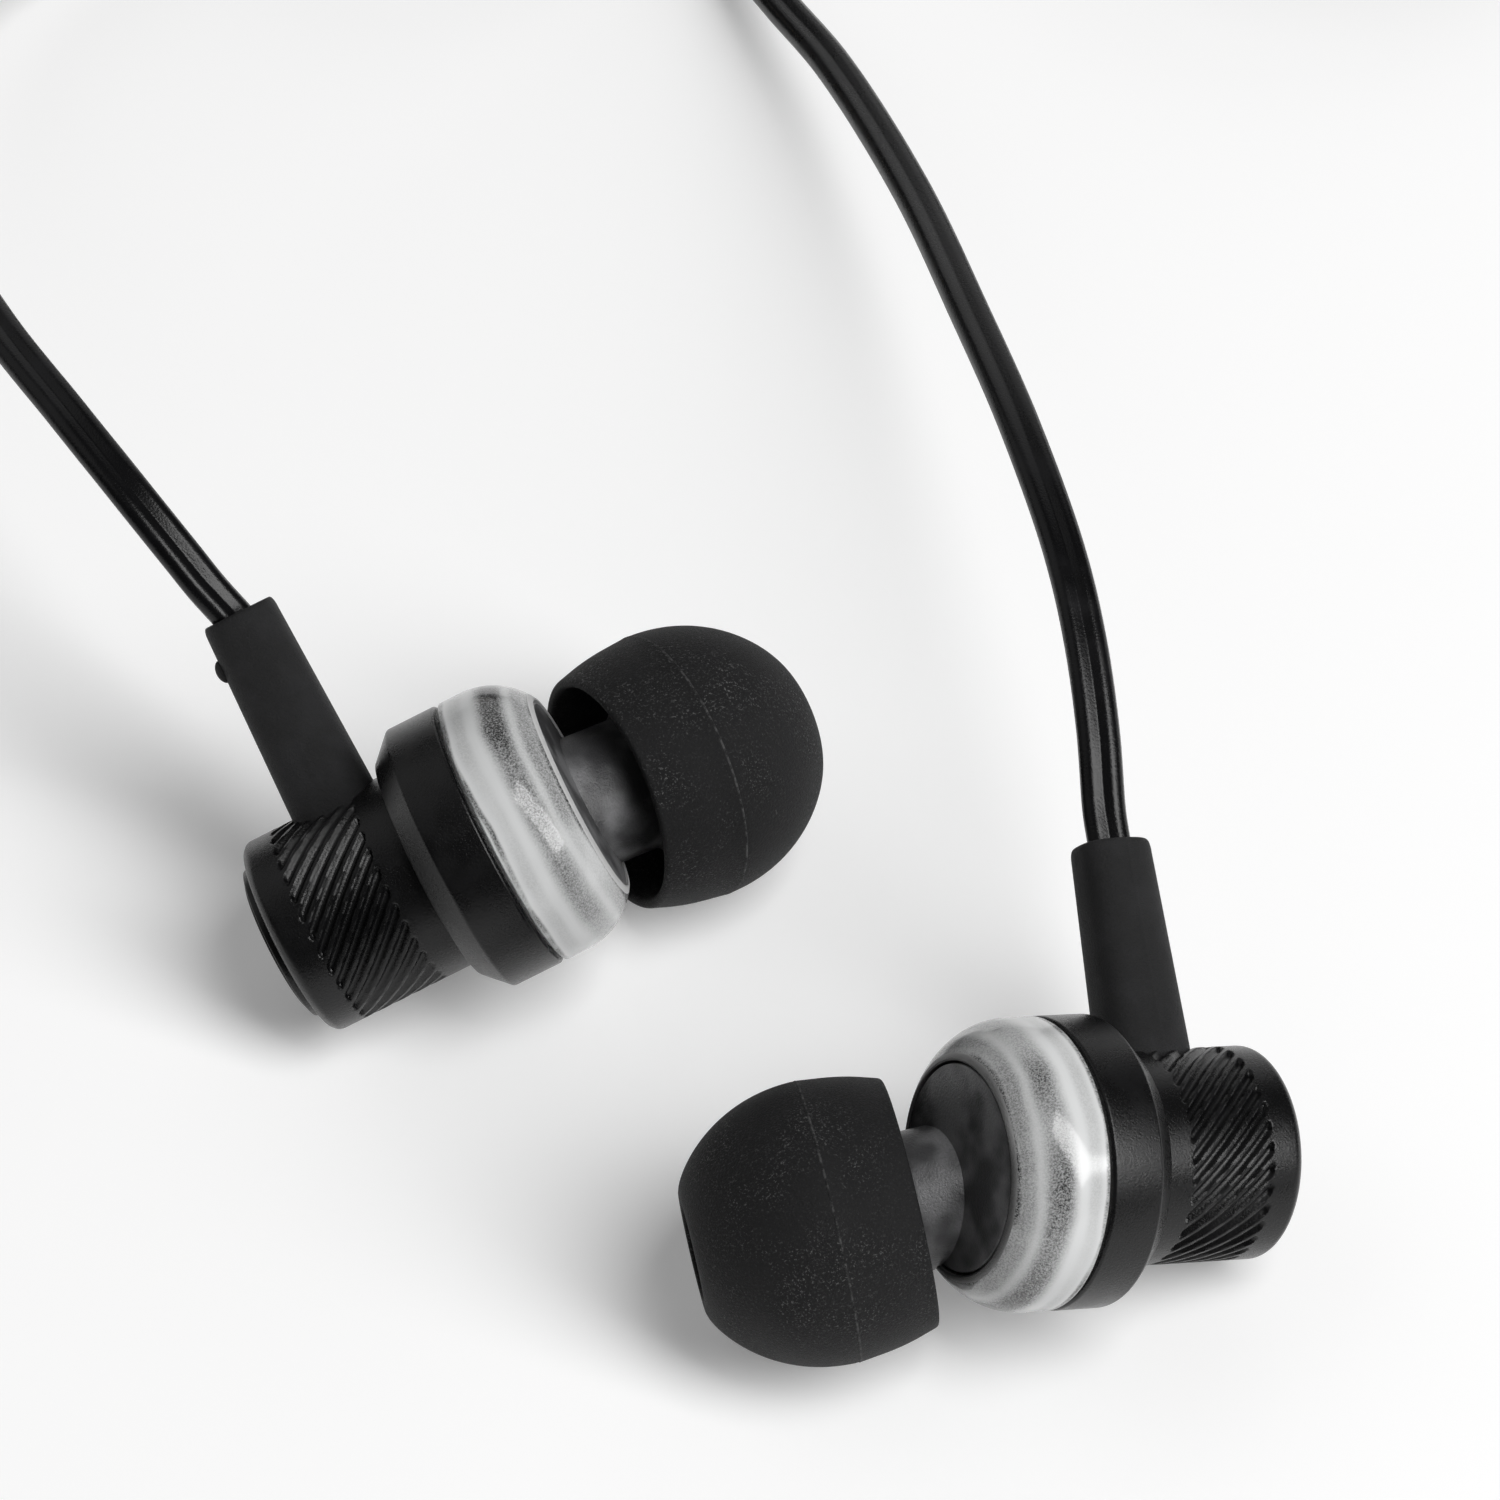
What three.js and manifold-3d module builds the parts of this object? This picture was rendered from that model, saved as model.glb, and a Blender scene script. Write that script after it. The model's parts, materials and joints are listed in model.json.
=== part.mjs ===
// A pair of wired in-ear earphones, lying on a table with its cord wound up behind it.
// Millimetres, +Z up. Each earpiece is modelled along its own housing axis: +X points from the
// end cap to the ear, +Z along the strain relief, and X = 0 is the seam between the metal ring
// and the clear front housing. Each earpiece then lies on its barrel edge and its ear tip.
import * as THREE from "three";
import { mergeVertices } from "three/addons/utils/BufferGeometryUtils.js";
import Module from "manifold-3d";

const wasm = await Module();
wasm.setup();

// ---------------------------------------------------------------- driving dimensions
const seatGap = 0.2; // between pieces that are fixed to each other
const slipGap = 0.3; // between the ear tip and the spout that it slides on, and at cord ends
const roundSteps = 28; // facets round the housing
const innerSteps = 12; // facets round the pieces inside

// metal ring
const housingRadius = 6.6;
const ringCylinder = 2.57;
const ringLength = 3.7;
const ringChamfer = 1.1; // the step down to its rear face
const ringEdge = 0.12;
const ringLip = 0.2;
const ringLipDepth = 0.65; // inwards from the front housing's bore

// clear front housing
const spigotLength = 1.7;
const housingWall = 1.65;
const spigotWall = 0.85;
const frontCylinder = 1.2;
const shoulderRadius = 3.4;
const shoulderDrop = 1.93; // from the cylinder down to the nozzle's disc
const stopDepth = 0.47;
const stopThickness = 0.6;

// smoked nozzle: a disc in the front housing with a spout that leaves it at an angle
const discThickness = 0.9;
const nozzleTilt = THREE.MathUtils.degToRad(26.75);
const nozzleTurn = THREE.MathUtils.degToRad(101.5); // round the housing axis, from the strain relief
const nozzleCross = -2.54; // where the nozzle axis crosses the housing axis
const tipCentre = 11.98; // from that crossing to the widest circle of the ear tip
const collarRadius = 3.2;
const collarEnd = -2.1; // measured from the widest circle of the ear tip, as all of the spout is
const spoutRadius = 2.45;
const spoutEnd = 3.6;
const beadHeight = 0.22;
const beadLength = 0.7;
const soundBore = 1.9;
const soundInlet = 1.35;
const feltThickness = 1.0;
const meshRecess = 0.5;
const meshThickness = 0.2;

// silicone ear tip
const tipRadius = 6.45;
const tipRear = 3.8;
const tipFront = 6.2;
const tipRimRadius = 5.74;
const tipFlatRadius = 2.8;
const tipHoleRadius = 2.15;
const tipWall = 0.85;
const coreWall = 0.9;
const hollowDepth = 6.6;

// knurled barrel and its end cap
const barrelStep = 1.76; // the barrel is this much smaller in radius than the housing
const barrelRear = 11.15;
const barrelWall = 0.8;
const barrelChamfer = 0.35;
const barrelSpigot = 1.1;
const rearWall = 0.75;
const knurlRear = 9.52;
const knurlLength = 4.4;
const knurlCount = 32;
const knurlDepth = 0.22;
const knurlAngle = THREE.MathUtils.degToRad(45);
const knurlRunOut = 0.3;
const knurlSteps = 1;
const capInset = 1.09; // the cap's rim, in from the barrel's outside
const capStep = 0.14;
const capRim = 0.75; // the cap's rim, out from its plug

// strain relief
const reliefPlace = 6.3; // behind the seam
const reliefHeight = 9.7; // above the barrel
const reliefBase = [2.07, 1.87]; // half width along the barrel, and across it
const reliefTop = [1.76, 1.56];
const reliefFoot = [2.4, 2.2];
const footHeight = 0.8;
const footTop = 3.0;
const nubRadius = 0.42;

// loudspeaker inside
const driverRear = 0.9;
const driverLength = 1.35;
const driverWall = 0.55;
const yokeInset = 1.35; // the yoke, in from the front housing's bore
const yokeLength = 2.3;
const yokeWall = 0.5;
const magnetLength = 1.0;
const poleInset = 1.05; // the top plate, in from the yoke's outside
const poleThickness = 0.4;
const coilWall = 0.2;
const coilLength = 1.25;
const domeHeight = 0.45;
const diaphragmThickness = 0.16;
const boardInset = 1.44; // the board, in from the barrel's bore
const boardThickness = 0.5;
const sealWidth = 0.75;
const sealThickness = 0.22;
const wireRadius = 0.24;
const knotRadius = 1.0;
const knotTube = 0.36;

// how the two earpieces lie
const leftYaw = THREE.MathUtils.degToRad(18.73);
const leftRoll = THREE.MathUtils.degToRad(-52.26);
const rightYaw = THREE.MathUtils.degToRad(-160.93);
const rightRoll = THREE.MathUtils.degToRad(63.73);
const rightFromLeft = [24.34, -18.64]; // from the left seam centre to the right one

// flat twin cord
const cordWidth = 2.0;
const cordThickness = 1.1;
const turnPitch = 2.65; // between turns side by side
const layerPitch = 1.65; // between turns on each other
const stepsPerLoop = 17;
const cordLead = 2.5; // straight run at either end of a coil
const cordExit = 1.2; // straight run off a face before the cord bends

// splitter
const splitterLength = 12;
const splitterHeight = 1.75; // half of its greatest thickness
const splitterPlace = [4.5, 98.4, splitterHeight];
const branchSpread = 1.4; // each branch, from the splitter's middle line

// 3.5 mm jack plug
const plugRadius = 1.75;
const shellRadius = 2.9;
const shellLength = 12;
const shellSeat = 2; // how far the contacts' sleeve sits in the shell
const bootLength = 7;
const bootPlug = 2; // the boot's part in the shell
const bootPlugRadius = 1.5;
const sleeveLength = 8;
const contactLength = 2.3;
const insulatorWidth = 0.6;
const contactTip = 3.6;
const rodRadius = 0.85;

// ---------------------------------------------------------------- sizes worked out from them
const housingBore = housingRadius - housingWall;
const ringRearRadius = housingRadius - ringChamfer;
const ringLipRadius = housingBore - ringLipDepth;
const discRadius = housingRadius - shoulderDrop;
const stopRadius = discRadius - stopDepth;
const barrelRadius = housingRadius - barrelStep;
const capRadius = barrelRadius - capInset;
const capPlug = capRadius - capRim;
const yokeRadius = housingBore - yokeInset;
const poleRadius = yokeRadius - poleInset;
const discFront =
  frontCylinder +
  Math.sqrt(
    shoulderRadius ** 2 -
      (shoulderRadius - (housingRadius - discRadius - seatGap)) ** 2,
  );
const barrelBore = barrelRadius - barrelWall;
const boardRadius = barrelBore - boardInset;
const barrelFront = ringLength - barrelSpigot;
const reliefEnd = barrelRadius + reliefHeight;
const coreBore = spoutRadius + slipGap;
const coreRadius = coreBore + coreWall;
const coilBase = (cordThickness / 2) * Math.sin(Math.PI / 3) + 0.01; // on a flat of its section

// ---------------------------------------------------------------- materials
function finish(color, roughness, metalness = 0) {
  return new THREE.MeshStandardMaterial({ color, roughness, metalness });
}
const anodised = () => finish(0x141415, 0.45, 0.7);
const clearPlastic = () => {
  const m = finish(0xc9cbca, 0.15);
  m.transparent = true;
  m.opacity = 0.45;
  return m;
};
const smokedPlastic = () => finish(0x3a3b3c, 0.4);
const silicone = () => finish(0x17181a, 0.75);
const rubber = () => finish(0x18191a, 0.65);
const steel = () => finish(0xb9bbbd, 0.3, 0.9);
const copper = () => finish(0xb87333, 0.35, 0.9);
const gold = () => finish(0xd8b25a, 0.25, 0.95);

// ---------------------------------------------------------------- helpers
// A geometry with only positions, its shared vertices merged.
function welded(geometry) {
  const g = geometry.clone();
  for (const name of Object.keys(g.attributes)) {
    if (name !== "position") g.deleteAttribute(name);
  }
  return mergeVertices(g, 1e-4);
}

function toSolid(geometry) {
  const g = welded(geometry);
  const mesh = new wasm.Mesh({
    numProp: 3,
    vertProperties: new Float32Array(g.attributes.position.array),
    triVerts: new Uint32Array(g.index.array),
  });
  return new wasm.Manifold(mesh);
}

function toGeometry(solid) {
  const mesh = solid.getMesh();
  const g = new THREE.BufferGeometry();
  g.setAttribute("position", new THREE.BufferAttribute(mesh.vertProperties, 3));
  g.setIndex(new THREE.BufferAttribute(mesh.triVerts, 1));
  g.computeVertexNormals();
  return g;
}

// A profile of [place along X, radius] turned round X. It runs forward over the outside
// and back along the bore, or starts and ends on the axis.
function turned(profile, steps = roundSteps) {
  const ends = profile[0][1] < 1e-6 ? profile : [...profile, profile[0]];
  const points = ends.map(([x, r]) => new THREE.Vector2(Math.max(r, 0), x));
  return new THREE.LatheGeometry(points, steps).rotateZ(-Math.PI / 2);
}

// A round bar or tube along X.
function tube(x0, x1, outer, inner = 0, steps = innerSteps) {
  const bore = inner > 0 ? [[x1, inner], [x0, inner]] : [[x1, 0]];
  const start = inner > 0 ? [] : [[x0, 0]];
  return turned([...start, [x0, outer], [x1, outer], ...bore], steps);
}

// The skin through a stack of rings with equally many points, closed at both ends.
function skinned(rings) {
  const n = rings[0].length;
  const positions = rings.flat().flat();
  const index = [];
  for (let i = 0; i < rings.length - 1; i++) {
    for (let j = 0; j < n; j++) {
      const a = i * n + j;
      const b = i * n + ((j + 1) % n);
      index.push(a, b, b + n, a, b + n, a + n);
    }
  }
  for (let j = 1; j < n - 1; j++) {
    const last = (rings.length - 1) * n;
    index.push(0, j + 1, j, last, last + j, last + j + 1);
  }
  const g = new THREE.BufferGeometry();
  g.setAttribute("position", new THREE.Float32BufferAttribute(positions, 3));
  g.setIndex(index);
  g.computeVertexNormals();
  return g;
}

// A rounded rectangle as points, between an ellipse (power 2) and a box.
function oval(halfX, halfY, steps, power = 2.6) {
  return Array.from({ length: steps }, (_, i) => {
    const a = (2 * Math.PI * (i + 0.5)) / steps;
    const c = Math.cos(a);
    const s = Math.sin(a);
    const k = (Math.abs(c) ** power + Math.abs(s) ** power) ** (-1 / power);
    return [halfX * c * k, halfY * s * k];
  });
}

function mesh(name, geometry, material) {
  const m = new THREE.Mesh(geometry, material);
  m.name = name;
  return m;
}

// ---------------------------------------------------------------- metal ring and front housing
function ringShape() {
  return turned([
    [-ringLength, barrelRadius + seatGap],
    [-ringLength, ringRearRadius],
    [-ringCylinder, housingRadius],
    [-seatGap / 2 - ringEdge, housingRadius],
    [-seatGap / 2, housingRadius - ringEdge],
    [-seatGap / 2, housingBore + spigotWall + seatGap],
    [-barrelFront + seatGap + ringLip, housingBore + spigotWall + seatGap],
    [-barrelFront + seatGap + ringLip, ringLipRadius],
    [-barrelFront + seatGap, ringLipRadius],
    [-barrelFront + seatGap, barrelRadius + seatGap],
  ]);
}

// The rounded shoulder of the front housing, from its cylinder to the opening for the disc.
function shoulder(grow = 0, steps = 5) {
  const end = Math.asin((discFront - frontCylinder) / shoulderRadius);
  return Array.from({ length: steps + 1 }, (_, i) => {
    const a = (end * i) / steps;
    const r = shoulderRadius + grow;
    const centre = housingRadius - shoulderRadius;
    return [frontCylinder + r * Math.sin(a), centre + r * Math.cos(a)];
  });
}

function frontHousingShape() {
  const stopRear = discFront - discThickness - seatGap - stopThickness;
  return turned([
    [seatGap / 2 - spigotLength, housingBore],
    [seatGap / 2 - spigotLength, housingBore + spigotWall],
    [seatGap / 2, housingBore + spigotWall],
    [seatGap / 2, housingRadius],
    ...shoulder(),
    [stopRear + stopThickness, discRadius + seatGap],
    [stopRear + stopThickness, stopRadius],
    [stopRear, stopRadius],
    [stopRear, housingBore],
  ]);
}

function sealShape() {
  const shelf = -barrelFront + seatGap + ringLip;
  const middle = (shelf + seatGap / 2 - spigotLength) / 2;
  const outer = housingBore + spigotWall;
  return tube(
    middle - sealThickness / 2,
    middle + sealThickness / 2,
    outer,
    outer - sealWidth,
    16,
  );
}

// ---------------------------------------------------------------- nozzle and ear tip
// The nozzle's own frame: X along the spout, X = 0 at the widest circle of the ear tip.
function nozzleFrame(side) {
  const lean = new THREE.Vector3(
    0,
    side * Math.sin(nozzleTurn),
    Math.cos(nozzleTurn),
  );
  const axis = new THREE.Vector3(Math.cos(nozzleTilt), 0, 0).addScaledVector(
    lean,
    Math.sin(nozzleTilt),
  );
  const turn = new THREE.Quaternion().setFromUnitVectors(
    new THREE.Vector3(1, 0, 0),
    axis,
  );
  const place = new THREE.Vector3(nozzleCross, 0, 0).addScaledVector(
    axis,
    tipCentre,
  );
  return { axis, turn, place };
}

function ontoSpout(geometry, side) {
  const { turn, place } = nozzleFrame(side);
  return geometry
    .clone()
    .applyQuaternion(turn)
    .translate(place.x, place.y, place.z);
}

// The disc with the collar and the spout, the collar cut to sit over the rounded shoulder.
function nozzleShape(side) {
  const far = 2 * housingRadius;
  const rear = -tipCentre * 0.6;
  const beadFront = spoutEnd - beadHeight;
  const spout = turned(
    [
      [rear, 0],
      [rear, collarRadius],
      [collarEnd - 0.15, collarRadius],
      [collarEnd, collarRadius - 0.15],
      [collarEnd, spoutRadius],
      [beadFront - beadLength, spoutRadius],
      [beadFront - beadLength / 2, spoutRadius + beadHeight],
      [beadFront, spoutRadius + beadHeight],
      [spoutEnd, spoutRadius - beadHeight],
      [spoutEnd, 0],
    ],
    20,
  );
  const opening = discRadius + seatGap / 2;
  const saddle = turned([
    [-far, opening],
    [-far, housingRadius + seatGap],
    ...shoulder(seatGap),
    [discFront + seatGap, opening],
  ]);
  const disc = tube(
    discFront - discThickness,
    discFront,
    discRadius,
    0,
    roundSteps,
  );
  const behind = tube(-far, discFront - discThickness, far);
  const feltSeat = spoutEnd - meshRecess - feltThickness - seatGap;
  const bore = turned(
    [
      [rear - 1, 0],
      [rear - 1, soundInlet],
      [feltSeat, soundInlet],
      [feltSeat, soundBore],
      [spoutEnd - meshRecess, soundBore],
      [spoutEnd - meshRecess, soundBore + seatGap],
      [spoutEnd + 1, soundBore + seatGap],
      [spoutEnd + 1, 0],
    ],
    innerSteps,
  );
  const solid = toSolid(ontoSpout(spout, side))
    .subtract(toSolid(saddle))
    .subtract(toSolid(behind))
    .add(toSolid(disc))
    .subtract(toSolid(ontoSpout(bore, side)));
  return toGeometry(solid);
}

function meshShape() {
  const front = spoutEnd - seatGap / 2;
  return tube(front - meshThickness, front, soundBore);
}

function feltShape() {
  const front = spoutEnd - meshRecess - seatGap / 2;
  return tube(front - feltThickness, front, soundBore - seatGap, 0, 12);
}

// The dome's outside, from the rounded rim over the widest circle to the flat front.
function tipOutside() {
  const rim = 0.35;
  const skirt = [
    [-tipRear, tipRimRadius - rim],
    [-tipRear + 0.12, tipRimRadius - 0.08],
    [-tipRear * 0.55, tipRadius - 0.24],
    [0, tipRadius],
  ];
  const power = 2.15;
  const dome = [0.3, 0.52, 0.7, 0.84, 0.93].map((t) => [
    tipFront * t,
    tipFlatRadius + (tipRadius - tipFlatRadius) * (1 - t ** power) ** (1 / 1.35),
  ]);
  return [...skirt, ...dome, [tipFront, tipFlatRadius]];
}

function earTipShape() {
  const shelf = spoutEnd + slipGap;
  const coreRear = collarEnd + slipGap;
  const top = -tipRear + hollowDepth;
  return turned(
    [
      ...tipOutside(),
      [tipFront, tipHoleRadius],
      [shelf, tipHoleRadius],
      [shelf, coreBore],
      [coreRear, coreBore],
      [coreRear, coreRadius],
      [top - 0.5, coreRadius],
      [top, coreRadius + 0.45],
      [top - 0.6, tipRadius - tipWall - 0.75],
      [0, tipRadius - tipWall],
      [-tipRear + 0.4, tipRimRadius - tipWall],
    ],
    24,
  );
}

// ---------------------------------------------------------------- knurled barrel and end cap
// The barrel's skin: rows of points round X, three to a groove. The first two are the edges of
// the flat ridge between grooves, and the third drops into the groove.
// The rows turn as they go forward, so that the grooves run as a helix.
function knurledSkin() {
  const front = -knurlRear + knurlLength;
  const rows = [
    [-barrelRear, barrelRadius - 1.8 * barrelChamfer, 0],
    [-barrelRear + barrelChamfer, barrelRadius, 0],
    [-knurlRear, barrelRadius, 0],
    [-knurlRear + knurlRunOut, barrelRadius, 1],
  ];
  const cut = knurlLength - 2 * knurlRunOut;
  for (let i = 1; i <= knurlSteps; i++) {
    const x = -knurlRear + knurlRunOut + (cut * i) / (knurlSteps + 1);
    rows.push([x, barrelRadius, 1]);
  }
  rows.push([front - knurlRunOut, barrelRadius, 1]);
  rows.push([front, barrelRadius, 0]);
  rows.push([-barrelFront, barrelRadius, 0]);
  const columns = 3 * knurlCount;
  const along = (x) => Math.min(Math.max(x, -knurlRear), front) + knurlRear;
  return skinned(
    rows.map(([x, r, groove]) =>
      Array.from({ length: columns }, (_, j) => {
        const turn = (along(x) * Math.tan(knurlAngle)) / barrelRadius;
        const a = (2 * Math.PI * j) / columns - turn;
        const radius = r - (j % 3 === 2 ? groove * knurlDepth : 0);
        return [x, radius * Math.cos(a), radius * Math.sin(a)];
      }),
    ),
  );
}

function barrelShape() {
  const capBore = capPlug + seatGap;
  const inside = turned(
    [
      [-barrelRear - 1, 0],
      [-barrelRear - 1, capBore],
      [-barrelRear + rearWall, capBore],
      [-barrelRear + rearWall, barrelBore],
      [-barrelFront + 1, barrelBore],
      [-barrelFront + 1, 0],
    ],
    24,
  );
  const [halfX, halfY] = reliefBase.map((w) => w + seatGap);
  const hole = skinned(
    [0, barrelRadius + 1].map((z) =>
      oval(halfX, halfY, 12).map(([x, y]) => [x - reliefPlace, y, z]),
    ),
  );
  return toGeometry(
    toSolid(knurledSkin()).subtract(toSolid(inside)).subtract(toSolid(hole)),
  );
}

function capShape() {
  const face = -barrelRear - seatGap;
  return turned(
    [
      [face - 2 * capStep, 0],
      [face - 2 * capStep, capRadius - 2 * capStep],
      [face - capStep, capRadius - 2 * capStep],
      [face - capStep, capRadius],
      [face, capRadius],
      [face, capPlug],
      [-barrelRear + rearWall, capPlug],
      [-barrelRear + rearWall, 0],
    ],
    24,
  );
}

// ---------------------------------------------------------------- strain relief and knot
function reliefShape(withNub) {
  const [footX, footY] = reliefFoot;
  const [baseX, baseY] = reliefBase;
  const [topX, topY] = reliefTop;
  const middle = (barrelRadius + reliefEnd) / 2;
  const stack = [
    [footTop - footHeight, footX, footY],
    [footTop, footX, footY],
    [footTop + 0.12, baseX, baseY],
    [barrelRadius, baseX, baseY],
    [middle, baseX * 0.4 + topX * 0.6, baseY * 0.4 + topY * 0.6],
    [reliefEnd - 0.5, topX, topY],
    [reliefEnd - 0.14, topX * 0.95, topY * 0.94],
    [reliefEnd, topX * 0.8, topY * 0.78],
  ];
  const boot = skinned(
    stack.map(([z, wx, wy]) =>
      oval(wx, wy, 12).map(([x, y]) => [x - reliefPlace, y, z]),
    ),
  );
  if (!withNub) return boot;
  const nub = new THREE.SphereGeometry(nubRadius, 8, 6).translate(
    -reliefPlace - topX,
    -topY / 4,
    reliefEnd - 2.1,
  );
  return toGeometry(toSolid(boot).add(toSolid(nub)));
}

// The overhand knot that keeps the cord from pulling out through the relief.
function knotShape() {
  const centre = footTop - footHeight - seatGap - knotRadius / 2 - knotTube;
  return new THREE.TorusKnotGeometry(knotRadius, knotTube, 18, 5).translate(
    -reliefPlace,
    0,
    centre,
  );
}

// One of the two enamelled wires from the knot to the terminal board.
function wireShape(y) {
  const boardRear = -seatGap - boardThickness + yokeRear();
  const route = new THREE.CatmullRomCurve3([
    new THREE.Vector3(-reliefPlace + 1.5 * knotRadius + knotTube + 0.25, y, 0.9),
    new THREE.Vector3(-reliefPlace + 1.5 * knotRadius + knotTube + 0.7, y, 0.7),
    new THREE.Vector3(boardRear - 0.8, y, 0.3),
    new THREE.Vector3(boardRear - seatGap, y, 0.3),
  ]);
  return tubeAlong(route, 2 * wireRadius, 2 * wireRadius, 5, 5);
}

// ---------------------------------------------------------------- loudspeaker
function yokeRear() {
  return driverRear - seatGap - yokeLength;
}

function driverFrameShape() {
  const outer = housingBore - seatGap;
  const front = driverRear + driverLength;
  const inner = poleRadius + 2 * seatGap + coilWall + seatGap;
  return turned(
    [
      [driverRear, inner],
      [driverRear, outer],
      [front, outer],
      [front, outer - driverWall],
      [front - 0.7, outer - driverWall],
      [front - 0.7, outer - 2 * driverWall],
      [driverRear + 0.3, outer - 2 * driverWall],
      [driverRear + 0.3, inner],
    ],
    18,
  );
}

function yokeShape() {
  const rear = yokeRear();
  const front = rear + yokeLength;
  return turned([
    [rear, 0],
    [rear, yokeRadius],
    [front, yokeRadius],
    [front, yokeRadius - yokeWall],
    [rear + yokeWall, yokeRadius - yokeWall],
    [rear + yokeWall, 0],
  ], innerSteps);
}

function magnetShape() {
  const rear = yokeRear() + yokeWall + seatGap;
  return tube(rear, rear + magnetLength, poleRadius - 0.1);
}

function poleShape() {
  const rear = yokeRear() + yokeWall + 2 * seatGap + magnetLength;
  return tube(rear, rear + poleThickness, poleRadius);
}

function voiceCoilShape() {
  const front = driverRear + driverLength - 0.7 - seatGap / 2;
  const inner = poleRadius + seatGap / 2;
  return tube(front - coilLength, front, inner + coilWall, inner);
}

// The thin cone: a flat edge on the frame, a rolled surround and a dome over the voice coil.
function diaphragmShape() {
  const seat = driverRear + driverLength - 0.7 + seatGap;
  const edge = housingBore - seatGap - driverWall - seatGap;
  const dome = poleRadius + coilWall;
  const t = diaphragmThickness;
  const front = [
    [0, edge],
    [0.2, (edge + dome) / 2],
    [0, dome],
    [domeHeight * 0.75, dome * 0.5],
  ];
  return turned(
    [
      [seat + domeHeight, 0],
      ...front.map(([x, r]) => [seat + x, r]).reverse(),
      ...front.map(([x, r]) => [seat + x + t, r]),
      [seat + domeHeight + t, 0],
    ],
    innerSteps,
  );
}

function boardShape() {
  const front = yokeRear() - seatGap;
  const outline = new THREE.Shape();
  outline.absarc(0, 0, boardRadius, 0.5, 2 * Math.PI - 0.5, false);
  return new THREE.ExtrudeGeometry(outline, {
    depth: boardThickness,
    bevelEnabled: false,
    curveSegments: 7,
  })
    .rotateY(Math.PI / 2)
    .translate(front - boardThickness, 0, 0);
}

// ---------------------------------------------------------------- one earpiece
function earpiece(prefix, side) {
  const group = new THREE.Group();
  const add = (name, geometry, material) =>
    group.add(mesh(`${prefix}_${name}`, geometry, material));
  add("end_cap", capShape(), anodised());
  add("knurled_barrel", barrelShape(), anodised());
  add("housing_ring", ringShape(), anodised());
  add("seal_ring", sealShape(), rubber());
  add("front_housing", frontHousingShape(), clearPlastic());
  add("nozzle", nozzleShape(side), smokedPlastic());
  add("nozzle_mesh", ontoSpout(meshShape(), side), steel());
  add("damping_felt", ontoSpout(feltShape(), side), finish(0xd9d6cf, 0.95));
  add("driver_frame", driverFrameShape(), finish(0x8d8f90, 0.4, 0.6));
  add("magnet_yoke", yokeShape(), steel());
  add("magnet", magnetShape(), finish(0x6d6f72, 0.4, 0.8));
  add("top_plate", poleShape(), steel());
  add("voice_coil", voiceCoilShape(), copper());
  add("diaphragm", diaphragmShape(), finish(0xd2d0c8, 0.5));
  add("terminal_board", boardShape(), finish(0x1d5a34, 0.5));
  add("lead_wire_a", wireShape(0.75), copper());
  add("lead_wire_b", wireShape(-0.75), finish(0x7a2020, 0.5));
  add("cable_knot", knotShape(), rubber());
  add("strain_relief", reliefShape(side > 0), rubber());
  add("ear_tip", ontoSpout(earTipShape(), side), silicone());
  return group;
}

// ---------------------------------------------------------------- how an earpiece lies
function attitude(yaw, pitch, roll) {
  return new THREE.Quaternion().setFromEuler(
    new THREE.Euler(roll, -pitch, yaw, "ZYX"),
  );
}

// The lowest height of circles round an axis, each [place along the axis, radius].
function lowestOf(circles, origin, axis, turn) {
  const start = origin.clone().applyQuaternion(turn);
  const way = axis.clone().applyQuaternion(turn);
  const flat = Math.sqrt(1 - way.z ** 2);
  return Math.min(...circles.map(([x, r]) => start.z + x * way.z - r * flat));
}

// The pitch at which the barrel's rear edge and the ear tip both touch the table,
// and the height of the seam above the table there.
function lieDown(side, yaw, roll) {
  const forward = new THREE.Vector3(1, 0, 0);
  const edge = [
    [-barrelRear, barrelRadius - 1.8 * barrelChamfer],
    [-barrelRear + barrelChamfer, barrelRadius],
    [-barrelRear - seatGap - capStep, capRadius],
  ];
  const { axis, place } = nozzleFrame(side);
  let low = 0;
  let high = 0.8;
  let turn;
  let barrel;
  for (let i = 0; i < 40; i++) {
    const pitch = (low + high) / 2;
    turn = attitude(yaw, pitch, roll);
    barrel = lowestOf(edge, new THREE.Vector3(), forward, turn);
    const tip = lowestOf(tipOutside(), place, axis, turn);
    if (barrel > tip) low = pitch;
    else high = pitch;
  }
  return { turn, height: -barrel };
}

function laid(prefix, side, yaw, roll) {
  const group = earpiece(prefix, side);
  const { turn, height } = lieDown(side, yaw, roll);
  group.quaternion.copy(turn);
  group.position.z = height;
  return group;
}

// ---------------------------------------------------------------- cords
// A route whose frames keep the flat cord's broad side level.
class FlatRoute extends THREE.CurvePath {
  constructor(curve) {
    super();
    this.curve = curve;
  }
  getPoint(t, target) {
    return this.curve.getPoint(t, target);
  }
  getLength() {
    return this.curve.getLength();
  }
  getLengths(divisions) {
    return this.curve.getLengths(divisions);
  }
  getPointAt(u, target) {
    return this.curve.getPointAt(u, target);
  }
  getSpacedPoints(divisions) {
    return this.curve.getSpacedPoints(divisions);
  }
  computeFrenetFrames(steps) {
    const frames = { tangents: [], normals: [], binormals: [] };
    const up = new THREE.Vector3(0, 0, 1);
    for (let i = 0; i <= steps; i++) {
      const tangent = this.curve.getTangentAt(i / steps);
      const broad = new THREE.Vector3().crossVectors(up, tangent).normalize();
      const thin = new THREE.Vector3().crossVectors(tangent, broad);
      frames.tangents.push(tangent);
      frames.normals.push(broad);
      frames.binormals.push(thin);
    }
    return frames;
  }
}

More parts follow.
